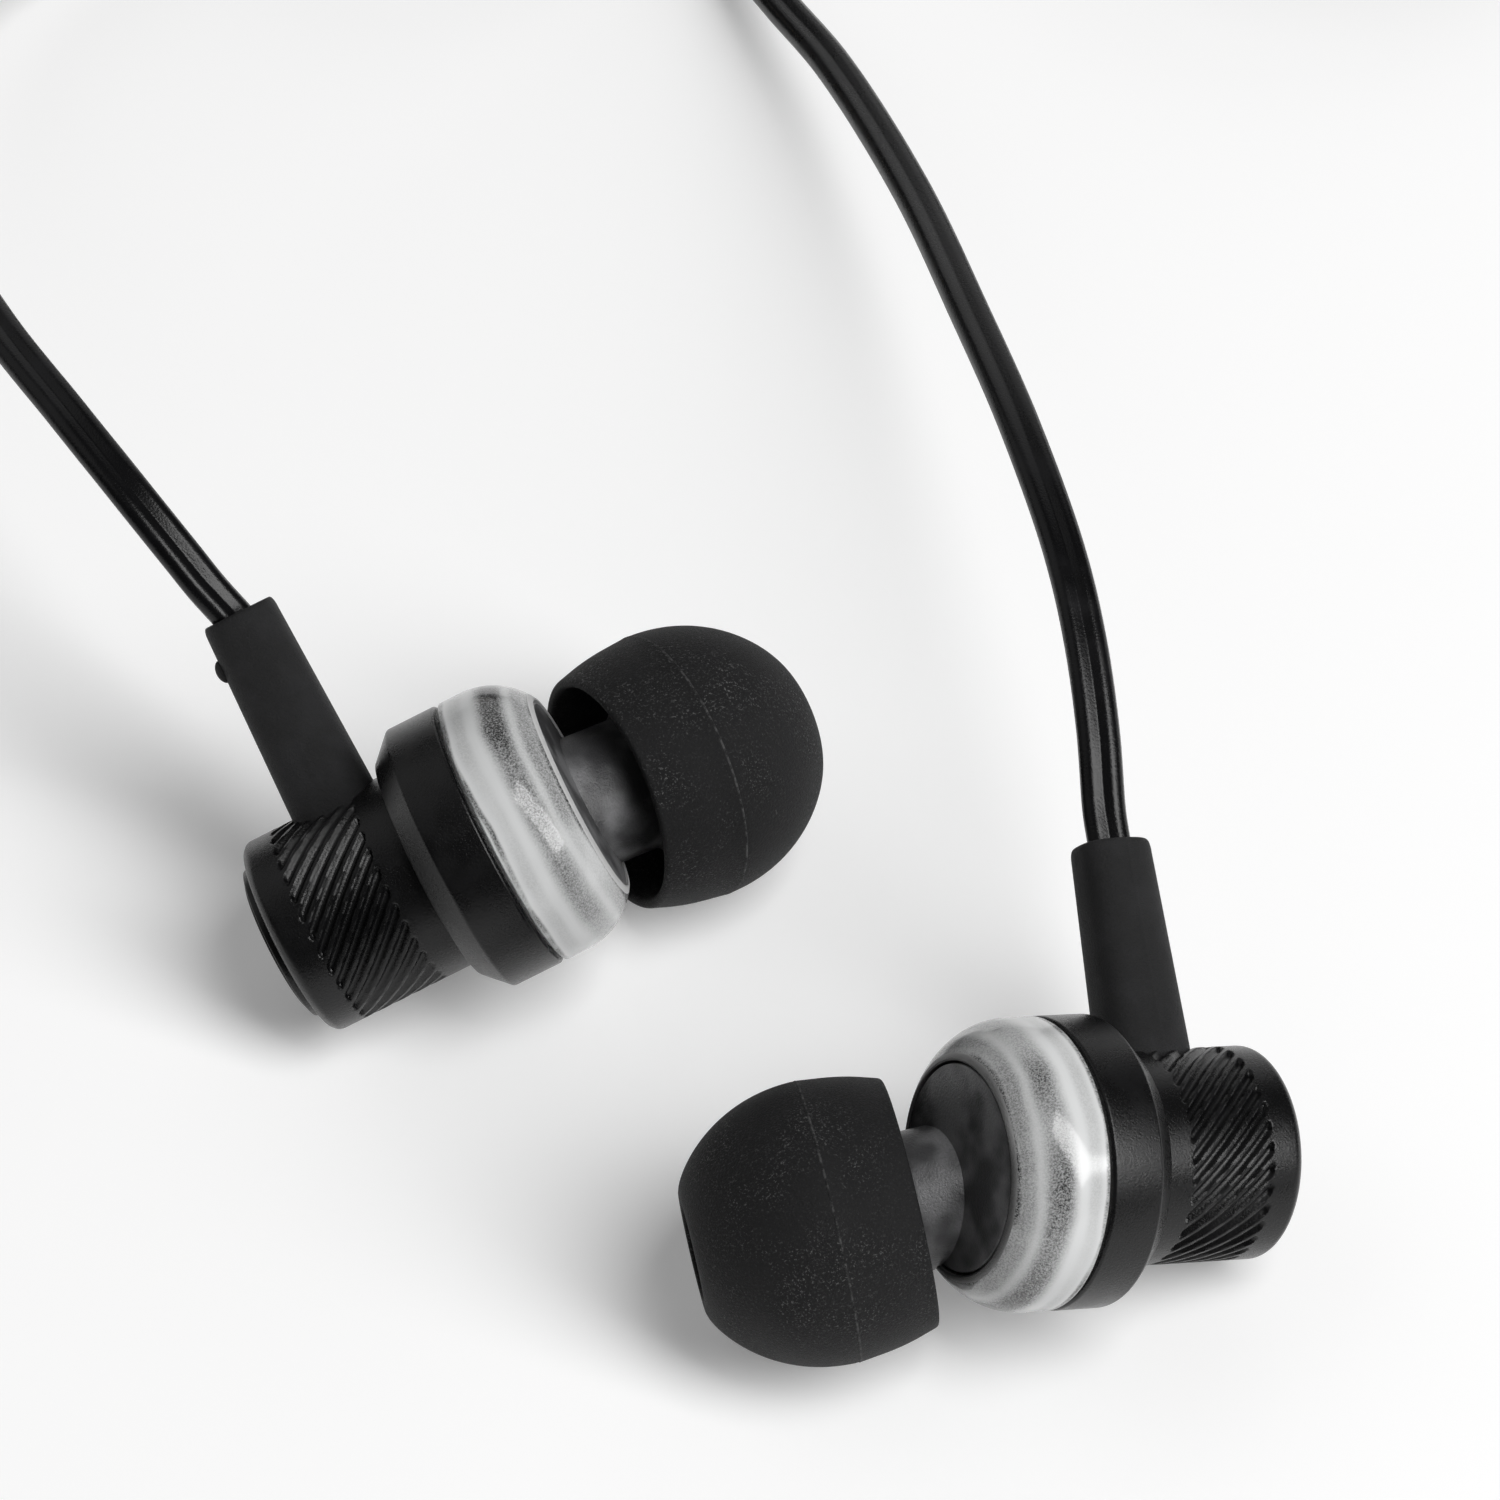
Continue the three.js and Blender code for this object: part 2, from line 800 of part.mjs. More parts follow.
// A tube with an oval section along a curve.
function tubeAlong(curve, width, thickness, sides, steps) {
  const section = new THREE.Shape(
    Array.from({ length: sides }, (_, i) => {
      const a = (2 * Math.PI * i) / sides;
      return new THREE.Vector2(
        (width / 2) * Math.cos(a),
        (thickness / 2) * Math.sin(a),
      );
    }),
  );
  return new THREE.ExtrudeGeometry(section, {
    steps,
    extrudePath: new FlatRoute(curve),
    bevelEnabled: false,
  });
}

// A wound coil: it spirals in, climbs a layer in the half turn where it reverses, and spirals
// out again, with a straight run at either end. way is 1 anticlockwise and -1 clockwise, and
// level is how many layers of another coil it lies on.
class Winding extends THREE.Curve {
  constructor({ centre, radius, turns, layers, start, way, level = 0 }) {
    super();
    Object.assign(this, { centre, radius, turns, layers, start, way, level });
    this.arcLengthDivisions = 1200;
    this.lead = cordLead;
    const wound = 2 * Math.PI * (radius - (turnPitch * turns) / layers / 2) * turns;
    this.share = this.lead / (wound + 2 * this.lead);
  }
  wound(s) {
    const perLayer = this.turns / this.layers;
    const layer = Math.min(Math.floor(s / perLayer), this.layers - 1);
    const part = s - layer * perLayer;
    const inward = layer % 2 ? perLayer - part : part;
    const r = this.radius - turnPitch * inward;
    let climbs = this.level;
    for (let k = 1; k < this.layers; k++) {
      climbs += THREE.MathUtils.smoothstep(s - k * perLayer, -0.25, 0.25);
    }
    const a = this.start + this.way * 2 * Math.PI * s;
    return new THREE.Vector3(
      this.centre[0] + r * Math.cos(a),
      this.centre[1] + r * Math.sin(a),
      coilBase + layerPitch * climbs,
    );
  }
  end(s) {
    const a = this.start + this.way * 2 * Math.PI * s;
    return new THREE.Vector3(-Math.sin(a), Math.cos(a), 0).multiplyScalar(this.way);
  }
  getPoint(t, target = new THREE.Vector3()) {
    const { share, turns, lead } = this;
    const s = THREE.MathUtils.clamp((t - share) / (1 - 2 * share), 0, 1) * turns;
    target.copy(this.wound(s));
    if (t < share) target.addScaledVector(this.end(0), -lead * (1 - t / share));
    if (t > 1 - share) {
      target.addScaledVector(this.end(turns), lead * (1 - (1 - t) / share));
    }
    return target;
  }
}

// The least distance between points of the tube's skin that lie over half a loop apart.
function leastGap(geometry) {
  const p = welded(geometry.clone()).attributes.position;
  const route = geometry.parameters.options.extrudePath;
  const centres = route.getSpacedPoints(geometry.parameters.options.steps);
  const near = 2 * cordWidth;
  const points = Array.from({ length: p.count }, (_, i) =>
    new THREE.Vector3().fromBufferAttribute(p, i),
  );
  const ringOf = points.map((v) => {
    const distances = centres.map((c) => c.distanceToSquared(v));
    return distances.indexOf(Math.min(...distances));
  });
  let least = Infinity;
  for (let i = 0; i < points.length; i++) {
    for (let j = i + 1; j < points.length; j++) {
      if (Math.abs(ringOf[i] - ringOf[j]) < stepsPerLoop / 2) continue;
      if (Math.abs(points[i].x - points[j].x) > near) continue;
      least = Math.min(least, points[i].distanceTo(points[j]));
    }
  }
  return least;
}

function windingMesh(name, winding) {
  const steps = Math.round(winding.turns * stepsPerLoop) + 2;
  const geometry = tubeAlong(winding, cordWidth, cordThickness, 6, steps);
  const gap = leastGap(geometry).toFixed(2);
  const length = winding.getLength().toFixed(0);
  console.log(`${name}: ${length} mm long, at least ${gap} mm from itself`);
  return mesh(name, geometry, rubber());
}

// A free stretch of cord through chosen points, with a step every few diameters.
function stretch(name, points) {
  const route = new THREE.CatmullRomCurve3(points, false, "centripetal");
  const length = route.getLength();
  const steps = Math.max(2, Math.ceil(length / (2.2 * cordWidth)));
  console.log(`${name}: ${length.toFixed(1)} mm long`);
  const geometry = tubeAlong(route, cordWidth, cordThickness, 8, steps);
  return mesh(name, geometry, rubber());
}

// Two points that lead straight away from a face: a gap off it, and a short run further on.
function leaving(face, way) {
  return [slipGap, slipGap + cordExit].map((d) =>
    face.clone().addScaledVector(way, d),
  );
}

const arriving = (face, way) => leaving(face, way).reverse();

// ---------------------------------------------------------------- splitter and plug
// A flat block as wide as both branches at its rear, tapering to the main cord at its front.
function splitterShape() {
  const rearHalf = branchSpread + cordWidth / 2 + 0.7;
  const frontHalf = cordWidth / 2 + 0.5;
  const stack = [
    [0, rearHalf - 0.4, splitterHeight - 0.55],
    [0.5, rearHalf, splitterHeight - 0.15],
    [splitterLength * 0.45, rearHalf - 0.1, splitterHeight],
    [splitterLength * 0.8, frontHalf + 0.3, splitterHeight - 0.25],
    [splitterLength - 0.4, frontHalf, splitterHeight - 0.4],
    [splitterLength, frontHalf - 0.3, splitterHeight - 0.65],
  ];
  return skinned(
    stack.map(([x, halfY, halfZ]) =>
      oval(halfY, halfZ, 12).map(([y, z]) => [x, y, z]),
    ),
  ).translate(...splitterPlace);
}

// The plug lies along X, from its boot to its contact tip.
function bootShape() {
  return turned(
    [
      [0, 0],
      [0, cordWidth / 2 + 0.35],
      [bootLength, shellRadius - 0.6],
      [bootLength, bootPlugRadius],
      [bootLength + bootPlug, bootPlugRadius],
      [bootLength + bootPlug, 0],
    ],
    innerSteps,
  );
}

function shellShape() {
  const rear = bootLength + seatGap;
  const front = rear + shellLength;
  const boreRear = rear + bootPlug + seatGap;
  const bore = rodRadius + 0.35;
  return turned(
    [
      [rear, bootPlugRadius + seatGap],
      [rear, shellRadius - 0.25],
      [rear + 0.25, shellRadius],
      [front - 0.4, shellRadius],
      [front, shellRadius - 0.4],
      [front, plugRadius + seatGap],
      [front - shellSeat, plugRadius + seatGap],
      [front - shellSeat, bore],
      [boreRear, bore],
      [boreRear, bootPlugRadius + seatGap],
    ],
    16,
  );
}

function plugContacts() {
  const front = bootLength + seatGap + shellLength;
  const rodEnd = rodRadius + seatGap;
  const sleeveEnd = front + sleeveLength;
  const ringStart = sleeveEnd + insulatorWidth;
  const ringEnd = ringStart + contactLength;
  const tipStart = ringEnd + insulatorWidth;
  const half = seatGap / 2;
  const seat = front - shellSeat + seatGap;
  const blindDepth = 1.2;
  const rod = [
    [seat, 0],
    [seat, rodRadius],
    [sleeveEnd + half, rodRadius],
    [sleeveEnd + half, plugRadius - 0.03],
    [ringStart - half, plugRadius - 0.03],
    [ringStart - half, rodRadius],
    [ringEnd + half, rodRadius],
    [ringEnd + half, plugRadius - 0.03],
    [tipStart - half, plugRadius - 0.03],
    [tipStart - half, rodRadius],
    [tipStart + blindDepth, rodRadius],
    [tipStart + blindDepth, 0],
  ];
  const nose = turned(
    [
      [tipStart, 0],
      [tipStart, plugRadius - 0.35],
      [tipStart + 1.0, plugRadius - 0.4],
      [tipStart + 1.6, plugRadius],
      [tipStart + contactTip - 0.3, 0.7],
      [tipStart + contactTip, 0],
    ],
    16,
  );
  const blind = tube(tipStart - 1, tipStart + blindDepth + seatGap, rodEnd, 0, 10);
  return {
    sleeve: tube(seat, sleeveEnd, plugRadius, rodEnd, 16),
    ring: tube(ringStart, ringEnd, plugRadius, rodEnd, 16),
    insulator: turned(rod, 10),
    tip: toGeometry(toSolid(nose).subtract(toSolid(blind))),
  };
}

// ---------------------------------------------------------------- assembly
const root = new THREE.Group();
root.name = "wired_earphones";

const left = laid("left", 1, leftYaw, leftRoll);
const right = laid("right", -1, rightYaw, rightRoll);
right.position.x = rightFromLeft[0];
right.position.y = rightFromLeft[1];
const pair = new THREE.Group();
pair.add(left, right);
pair.updateMatrixWorld(true);
const extent = new THREE.Box3().setFromObject(pair, true);
const middle = extent.getCenter(new THREE.Vector3());
pair.position.set(-middle.x, -middle.y, -extent.min.z);
root.add(pair);
root.updateMatrixWorld(true);

// Where the cord leaves an earpiece, and which way.
function exitOf(ear) {
  const face = ear.localToWorld(new THREE.Vector3(-reliefPlace, 0, reliefEnd));
  const way = new THREE.Vector3(0, 0, 1).transformDirection(ear.matrixWorld);
  return [face, way];
}

const quarter = Math.PI / 2;
const windings = {
  left: new Winding({
    centre: [-15.6, 84], radius: 13, layers: 2, turns: 4.25, start: 2 * quarter, way: -1, level: 2,
  }),
  right: new Winding({
    centre: [-15.6, 84], radius: 13.2, layers: 2, turns: 4, start: 0, way: 1,
  }),
  main: new Winding({
    centre: [28.6, 83.4], radius: 15, layers: 4, turns: 11.75, start: quarter, way: -1,
  }),
};

// The points where a winding starts and ends, with the way out of it.
function startOf(winding) {
  return [winding.getPoint(0), winding.end(0).negate()];
}
function endOf(winding) {
  return [winding.getPoint(1), winding.end(winding.turns)];
}

const at = (x, y, z) => new THREE.Vector3(x, y, z);
const ahead = at(1, 0, 0);
const rearOfSplitter = (y) => [at(...splitterPlace).add(at(0, y, 0)), ahead.clone().negate()];
const frontOfSplitter = [at(...splitterPlace).add(at(splitterLength, 0, 0)), ahead];
const stackTop = coilBase + 3 * layerPitch + cordThickness / 2; // of the branches' two coils
const plugPlace = at(2.2, 92.9, stackTop + slipGap + shellRadius);
const rearOfPlug = [plugPlace, ahead];

root.add(
  stretch("left_cord", [
    ...leaving(...exitOf(left)),
    at(-24.78, 17.27, 15.87),
    at(-25.49, 17.88, 16.32),
    at(-27.23, 19.16, 17.21),
    at(-28.96, 20.44, 18.1),
    at(-31.28, 23.63, 18.6),
    at(-35, 29.5, 18.3),
    at(-38.1, 37, 16.1),
    at(-39.4, 45, 12.9),
    at(-40.3, 52.5, 9.9),
    at(-40.2, 59.2, 7.4),
    at(-37.8, 65.2, 5.5),
    at(-34, 69.4, 4.6),
    at(-30.7, 72.8, 4.1),
    at(-29, 76, 3.85),
    ...arriving(...startOf(windings.left)),
  ]),
  stretch("right_cord", [
    ...leaving(...exitOf(right)),
    at(16.02, 8.72, 14.4),
    at(15.49, 12.76, 15.9),
    at(14.65, 17.1, 16.8),
    at(12.8, 24.69, 16.6),
    at(10.54, 34.13, 14.2),
    at(7.97, 45.33, 10.3),
    at(4.27, 57.53, 5.9),
    at(1.69, 63.76, 3.6),
    at(-0.7, 69.6, 1.7),
    at(-2, 74, 0.8),
    ...arriving(...startOf(windings.right)),
  ]),
  windingMesh("left_coil", windings.left),
  windingMesh("right_coil", windings.right),
  stretch("left_lead", [
    ...leaving(...endOf(windings.left)),
    at(-9.3, 97.15, 5.24),
    at(-6.5, 97.76, 4.43),
    at(-2.2, 99.04, 2.76),
    at(0.7, 99.65, 1.95),
    ...arriving(...rearOfSplitter(branchSpread)),
  ]),
  stretch("right_lead", [
    ...leaving(...endOf(windings.right)),
    at(-2.4, 91.6, 2.06),
    at(-1.68, 94.3, 1.95),
    at(0.3, 96.28, 1.83),
    ...arriving(...rearOfSplitter(-branchSpread)),
  ]),
  mesh("y_splitter", splitterShape(), rubber()),
  stretch("main_lead", [
    ...leaving(...frontOfSplitter),
    at(20, 98.4, 1.49),
    at(22.6, 98.4, 0.75),
    ...arriving(...startOf(windings.main)),
  ]),
  windingMesh("main_coil", windings.main),
  stretch("plug_lead", [
    ...leaving(...endOf(windings.main)),
    at(12.86, 90.15, 5.88),
    at(10.85, 92.16, 6.98),
    at(8.1, 92.9, 8.25),
    at(5.6, 92.9, 9),
    ...arriving(...rearOfPlug),
  ]),
);

// The plug lies on the branches' coils and points to the left.
const plug = new THREE.Group();
const contacts = plugContacts();
plug.add(
  mesh("plug_boot", bootShape(), rubber()),
  mesh("plug_shell", shellShape(), anodised()),
  mesh("plug_sleeve", contacts.sleeve, gold()),
  mesh("plug_ring", contacts.ring, gold()),
  mesh("plug_insulator", contacts.insulator, finish(0x0f0f10, 0.5)),
  mesh("plug_tip", contacts.tip, gold()),
);
plug.rotation.z = 2 * quarter;
plug.position.copy(plugPlace);
root.add(plug);

export default root;
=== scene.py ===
"""A pair of wired in-ear earphones on a white table, with their cord wound up behind them.

The earphones' sizes are in millimetres, and are turned to metres where a mesh is made. The
camera, the table and the lights are in metres.
"""
import json

import bmesh
import bpy
import numpy as np
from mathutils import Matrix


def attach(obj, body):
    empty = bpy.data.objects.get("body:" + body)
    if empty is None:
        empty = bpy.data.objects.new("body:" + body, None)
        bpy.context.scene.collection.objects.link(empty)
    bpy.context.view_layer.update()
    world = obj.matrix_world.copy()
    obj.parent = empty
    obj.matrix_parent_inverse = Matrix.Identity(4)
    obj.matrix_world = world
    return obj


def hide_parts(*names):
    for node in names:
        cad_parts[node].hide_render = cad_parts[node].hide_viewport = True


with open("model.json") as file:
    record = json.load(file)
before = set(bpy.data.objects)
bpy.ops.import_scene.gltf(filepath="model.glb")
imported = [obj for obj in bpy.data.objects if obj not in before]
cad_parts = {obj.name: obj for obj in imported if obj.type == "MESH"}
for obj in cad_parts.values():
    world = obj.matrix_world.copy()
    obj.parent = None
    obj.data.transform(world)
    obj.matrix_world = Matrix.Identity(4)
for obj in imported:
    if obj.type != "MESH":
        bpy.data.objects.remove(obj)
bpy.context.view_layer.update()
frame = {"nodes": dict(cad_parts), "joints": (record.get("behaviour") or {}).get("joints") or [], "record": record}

# ---------------------------------------------------------------- camera
# The photograph looks down on the table from 52 degrees, through a long lens, so that the
# two earpieces show almost without perspective. The view's middle lies between them.
VIEW_MIDDLE = np.array([0.00015, 0.01867, 0.0])
ELEVATION = np.radians(52.41)
DISTANCE = 0.3838
LENS = 192.8  # in millimetres, for a sensor 36 mm wide

camera_data = bpy.data.cameras.new("camera")
camera_data.sensor_width = 36.0
camera_data.lens = LENS
camera_data.clip_start = 0.01
camera = bpy.data.objects.new("camera", camera_data)
bpy.context.scene.collection.objects.link(camera)
towards = np.array([0.0, -np.cos(ELEVATION), np.sin(ELEVATION)])
camera.location = VIEW_MIDDLE + DISTANCE * towards
camera.rotation_euler = (np.pi / 2 - ELEVATION, 0.0, 0.0)
bpy.context.scene.camera = camera

# ---------------------------------------------------------------- how the earpieces lie
# Each earpiece leans on its barrel's rear edge and its ear tip. Its own frame has X along the
# housing from the cap to the ear, Z along the strain relief, and 0 at the seam between the
# metal ring and the clear housing; it is found from the cap's face and the ear tip's slide.
NOZZLE_TILT = np.radians(26.75)  # between the spout and X
NOZZLE_TURN = np.radians(101.5)  # round X, from Z to the spout
CAP_FACE = 11.63  # how far the cap's face lies behind the seam


def unit(v):
    """v divided by its length."""
    return np.asarray(v, float) / np.linalg.norm(v)


def lie(side):
    """The seam's place and the three axes of an earpiece, in the table's frame.

    The slide's direction, less its share along X, points across the housing at a known
    turn from the strain relief: so Z is that direction turned back round X.
    """
    mount = next(m for m in frame["record"]["mounts"] if m["name"] == side + "_cap_face")
    slide = next(j for j in frame["joints"] if j["name"] == side + "_tip_pull")
    x = -unit(mount["axis"])
    nozzle = unit(slide["axis"])
    across = unit(nozzle - (nozzle @ x) * x)
    hand = 1 if side == "left" else -1
    z = np.cos(NOZZLE_TURN) * across + hand * np.sin(NOZZLE_TURN) * np.cross(x, across)
    seam = np.array(mount["pos_m"]) * 1000 + CAP_FACE * x
    return seam, np.array([x, np.cross(z, x), z])


SIDES = {"left": lie("left"), "right": lie("right")}


def placed(points, side):
    """Points of an earpiece's own frame, on the table: seam + x X + y Y + z Z."""
    seam, axes = SIDES[side]
    return seam + np.asarray(points, float) @ axes


# ---------------------------------------------------------------- flat twin cord
# Each branch is a flat twin cord of two insulated strands joined by a web, in glossy black
# rubber. It leaves the strain relief, arches over to the table, is wound into a neat coil
# beyond the picture, and runs into the splitter.
CORD_WIDTH = 2.0
CORD_THICKNESS = 1.1
WEB_THICKNESS = 0.84
BRANCH_LENGTH = 0.37  # metres
MAIN_LENGTH = 0.852  # metres
TURN_PITCH = 2.65
LAYER_PITCH = 1.65
COIL_BASE = CORD_THICKNESS / 2
BARREL_RADIUS = 4.84
RELIEF_PLACE = 6.3  # how far the strain relief's axis lies behind the seam
RELIEF_END = BARREL_RADIUS + 9.7


class Shade:
    """One output of a material's nodes. Arithmetic on it adds Math nodes, so that a finish's
    changing values are sums and products of noises, written as plain expressions.
    """

    def __init__(self, tree, socket=None):
        self.tree, self.socket = tree, socket

    def node(self, kind, settings=None, out=0, **sockets):
        """Adds a node, gives it its settings, then its sockets, and returns an output. A
        socket goes by its name, with _ for a space, or by its number, such as i0.
        """
        node = self.tree.nodes.new("ShaderNode" + kind)
        for key, value in (settings or {}).items():
            setattr(node, key, value)
        for key, value in sockets.items():
            key = int(key[1:]) if key[1:].isdigit() else key.replace("_", " ")
            if isinstance(value, Shade):
                self.tree.links.new(value.socket, node.inputs[key])
            else:
                node.inputs[key].default_value = value
        return Shade(self.tree, node.outputs[out])

    def maths(self, operation, *values):
        """A Math node on values, which may be numbers or other outputs."""
        sockets = {f"i{n}": value for n, value in enumerate(values)}
        return self.node("Math", {"operation": operation}, **sockets)

    def __add__(self, other):
        return self.maths("ADD", self, other)

    def __mul__(self, other):
        return self.maths("MULTIPLY", self, other)

    def __sub__(self, other):
        return self.maths("SUBTRACT", self, other)

    def __rsub__(self, other):
        return self.maths("SUBTRACT", other, self)

    __radd__, __rmul__ = __add__, __mul__

    def ramp(self, low, high):
        """0 below low, 1 above high, and smooth between them."""
        sockets = dict(Value=self, From_Min=low, From_Max=high)
        return self.node("MapRange", {"interpolation_type": "SMOOTHSTEP"}, **sockets)

    def noise(self, per_mm, detail=2.0, roughness=0.5):
        """A noise of that many waves a millimetre, on the object's own coordinates."""
        place = self.node("TexCoord", out=3)
        sockets = dict(Vector=place, Scale=per_mm * 1000, Detail=detail, Roughness=roughness)
        return self.node("TexNoise", **sockets)

    def mix(self, low, high):
        """The colour low where this is 0, and high where it is 1."""
        sockets = dict(i0=self, i6=(*low, 1), i7=(*high, 1))
        return self.node("Mix", {"data_type": "RGBA"}, out=2, **sockets)

    def bump(self, height_mm):
        """A normal for a relief of that height, where this goes from 0 to 1."""
        return self.node("Bump", Height=self, Distance=height_mm / 1000, Strength=1.0)


def finish(name, changing, **fixed):
    """A Principled material: fixed values on its sockets, and changing(s) for the rest."""
    material = bpy.data.materials.new(name)
    material.use_nodes = True
    tree = material.node_tree
    shader = tree.nodes["Principled BSDF"]
    for key, value in fixed.items():
        socket = shader.inputs[key.replace("_", " ")]
        socket.default_value = (*value, 1) if isinstance(value, tuple) else value
    for key, value in changing(Shade(tree)).items():
        tree.links.new(value.socket, shader.inputs[key.replace("_", " ")])
    return material


def cord_look(s):
    """Glossy rubber, dulled a little where it is scuffed."""
    scuff = s.noise(0.35, 4.0).ramp(0.45, 0.75)
    grain = s.noise(9.0, 3.0)
    return {
        "Base_Color": scuff.mix((0.002, 0.002, 0.0024), (0.005, 0.005, 0.006)),
        "Roughness": 0.22 + scuff * 0.12 + grain * 0.08,
        "Normal": grain.bump(0.012),
    }


cord_rubber = finish("cord_rubber", cord_look, Specular_IOR_Level=0.3)


def slope(a, b, c, before, after):
    """The curve's slope at b, from its neighbours a and c and the spacings to them."""
    return (b - a) / before - (c - a) / (before + after) + (c - b) / after


def through(points, per_mm=2):
    """A centripetal Catmull-Rom curve through points, as the cord's solids have it: between
    two points it is the cubic whose end slopes are weighed by the square roots of the
    distances to their neighbours.
    """
    p = np.array(points, float)
    p = np.vstack([2 * p[0] - p[1], p, 2 * p[-1] - p[-2]])
    knots = np.linalg.norm(np.diff(p, axis=0), axis=1) ** 0.5
    pieces = []
    for i in range(1, len(p) - 2):
        before, here, after = knots[i - 1 : i + 2]
        start = slope(p[i - 1], p[i], p[i + 1], before, here) * here
        end = slope(p[i], p[i + 1], p[i + 2], here, after) * here
        count = max(3, int(np.linalg.norm(p[i + 1] - p[i]) * per_mm))
        t = np.linspace(0, 1, count, endpoint=False)[:, None]
        pieces.append(
            (2 * t**3 - 3 * t**2 + 1) * p[i]
            + (t**3 - 2 * t**2 + t) * start
            + (-2 * t**3 + 3 * t**2) * p[i + 1]
            + (t**3 - t**2) * end
        )
    return np.vstack(pieces + [p[-2:-1]])


def winding(centre, radius, turns, layers, start, way, level=0, per_turn=96):
    """A coil: the radius shrinks by a pitch each turn on one layer and grows on the next,
    and the height steps up smoothly in the half turn where it reverses. It lies on level
    layers of another coil.
    """
    s = np.linspace(0, turns, int(turns * per_turn) + 1)
    each = turns / layers
    layer = np.minimum(np.floor(s / each), layers - 1)
    part = s - layer * each
    r = radius - TURN_PITCH * np.where(layer % 2 == 1, each - part, part)
    reversal = np.clip(s[:, None] - each * np.arange(1, layers) + 0.25, 0, 0.5) * 2
    climbs = (reversal**2 * (3 - 2 * reversal)).sum(axis=1)
    a = start + way * 2 * np.pi * s
    flat = np.stack([centre[0] + r * np.cos(a), centre[1] + r * np.sin(a)], axis=1)
    return np.column_stack([flat, COIL_BASE + LAYER_PITCH * (level + climbs)])


def twin_section():
    """The cord's outline: two circles, cut off where they meet the web between them."""
    strand = CORD_THICKNESS / 2
    apart = CORD_WIDTH / 2 - strand
    turn = np.pi - np.arcsin(WEB_THICKNESS / CORD_THICKNESS) * 0.9
    a = np.linspace(-turn, turn, 9)
    right = np.stack([apart + strand * np.cos(a), strand * np.sin(a)], axis=1)
    return np.vstack([right, -right])


def along(path, section):
    """A grid of points: the section carried along the path with its broad side level. The
    first axis goes along the path and the second round it.
    """
    way = np.gradient(path, axis=0)
    way /= np.linalg.norm(way, axis=1)[:, None]
    broad = np.cross([0.0, 0.0, 1.0], way)
    broad /= np.linalg.norm(broad, axis=1)[:, None]
    thin = np.cross(way, broad)
    x, y = section[:, 0], section[:, 1]
    return path[:, None] + x[:, None] * broad[:, None] + y[:, None] * thin[:, None]


def closed(grid):
    """The grid with one more row at each end, drawn together to a point."""
    ends = [np.broadcast_to(grid[i].mean(axis=0), grid[i].shape)[None] for i in (0, -1)]
    return np.concatenate([ends[0], grid, ends[1]])


def made(name, grid, material, ring=False, sharp=38):
    """A smooth object from a grid of points in millimetres: each point is joined to the
    next one round, and to the one in the next row, also from the last row to the first
    where the shape is a ring. Edges past sharp degrees stay sharp. Its UVs are the distance
    along the rows and the share of the way round.
    """
    rows, around = grid.shape[:2]
    i, j = np.meshgrid(np.arange(rows if ring else rows - 1), np.arange(around), indexing="ij")
    corners = ((0, 0), (0, 1), (1, 1), (1, 0))
    faces = np.stack([(i + di) % rows * around + (j + dj) % around for di, dj in corners], -1)
    mesh = bpy.data.meshes.new(name)
    mesh.from_pydata((grid.reshape(-1, 3) / 1000).tolist(), [], faces.reshape(-1, 4).tolist())
    step = np.linalg.norm(np.diff(grid[:, 0], axis=0, append=grid[:1, 0]), axis=1)
    u, v = np.r_[0, np.cumsum(step)], np.arange(around + 1) / around
    uvs = np.stack([np.stack([u[i + di], v[j + dj]], -1) for di, dj in corners], 2)
    mesh.uv_layers.new(name="along").uv.foreach_set("vector", uvs.ravel())
    merged = bmesh.new()
    merged.from_mesh(mesh)
    bmesh.ops.remove_doubles(merged, verts=merged.verts, dist=1e-6)
    bmesh.ops.dissolve_degenerate(merged, edges=merged.edges, dist=1e-7)
    bmesh.ops.recalc_face_normals(merged, faces=merged.faces)
    merged.to_mesh(mesh)
    merged.free()
    mesh.shade_smooth()
    mesh.set_sharp_from_angle(angle=np.radians(sharp))
    mesh.materials.append(material)
    piece = bpy.data.objects.new(name, mesh)
    bpy.context.scene.collection.objects.link(piece)
    return piece


def belongs(piece, body, slot, *nodes):
    """The piece rides on a body and stands for those nodes, which it hides. The slot is not used."""
    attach(piece, body)
    if nodes:
        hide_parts(*nodes)


BRANCH_COILS = [-15.6, 84]
MAIN_COIL = [28.6, 83.4]
SPLITTER_PLACE = np.array([4.5, 98.4, 1.75])
SPLITTER_LENGTH = 12.0
BRANCH_SPREAD = 1.4
PLUG_PLACE = np.array([2.2, 92.9, 9.19])

left_winding = winding(BRANCH_COILS, 13, turns=4.25, layers=2, start=np.pi, way=-1, level=2)
right_winding = winding(BRANCH_COILS, 13.2, turns=4, layers=2, start=0, way=1)
main_winding = winding(MAIN_COIL, 15, turns=11.75, layers=4, start=np.pi / 2, way=-1)


def relief_exit(side, *heights):
    """The start of a branch: points on the relief's own axis, that far past its end."""
    return [placed([-RELIEF_PLACE, 0, RELIEF_END + z], side) for z in heights]


def route(*stretches):
    """Stretches and windings in a row, joined by one smooth curve."""
    return np.vstack([stretches[0]] + [s[1:] for s in stretches[1:]])


def end_run(points, where):
    """A winding's end, after three points that lie straight on from it."""
    a, b = (points[0], points[1]) if where == "start" else (points[-1], points[-2])
    return [a + unit(a - b) * away for away in (4.0, 2.5, 1.25, 0.0)]


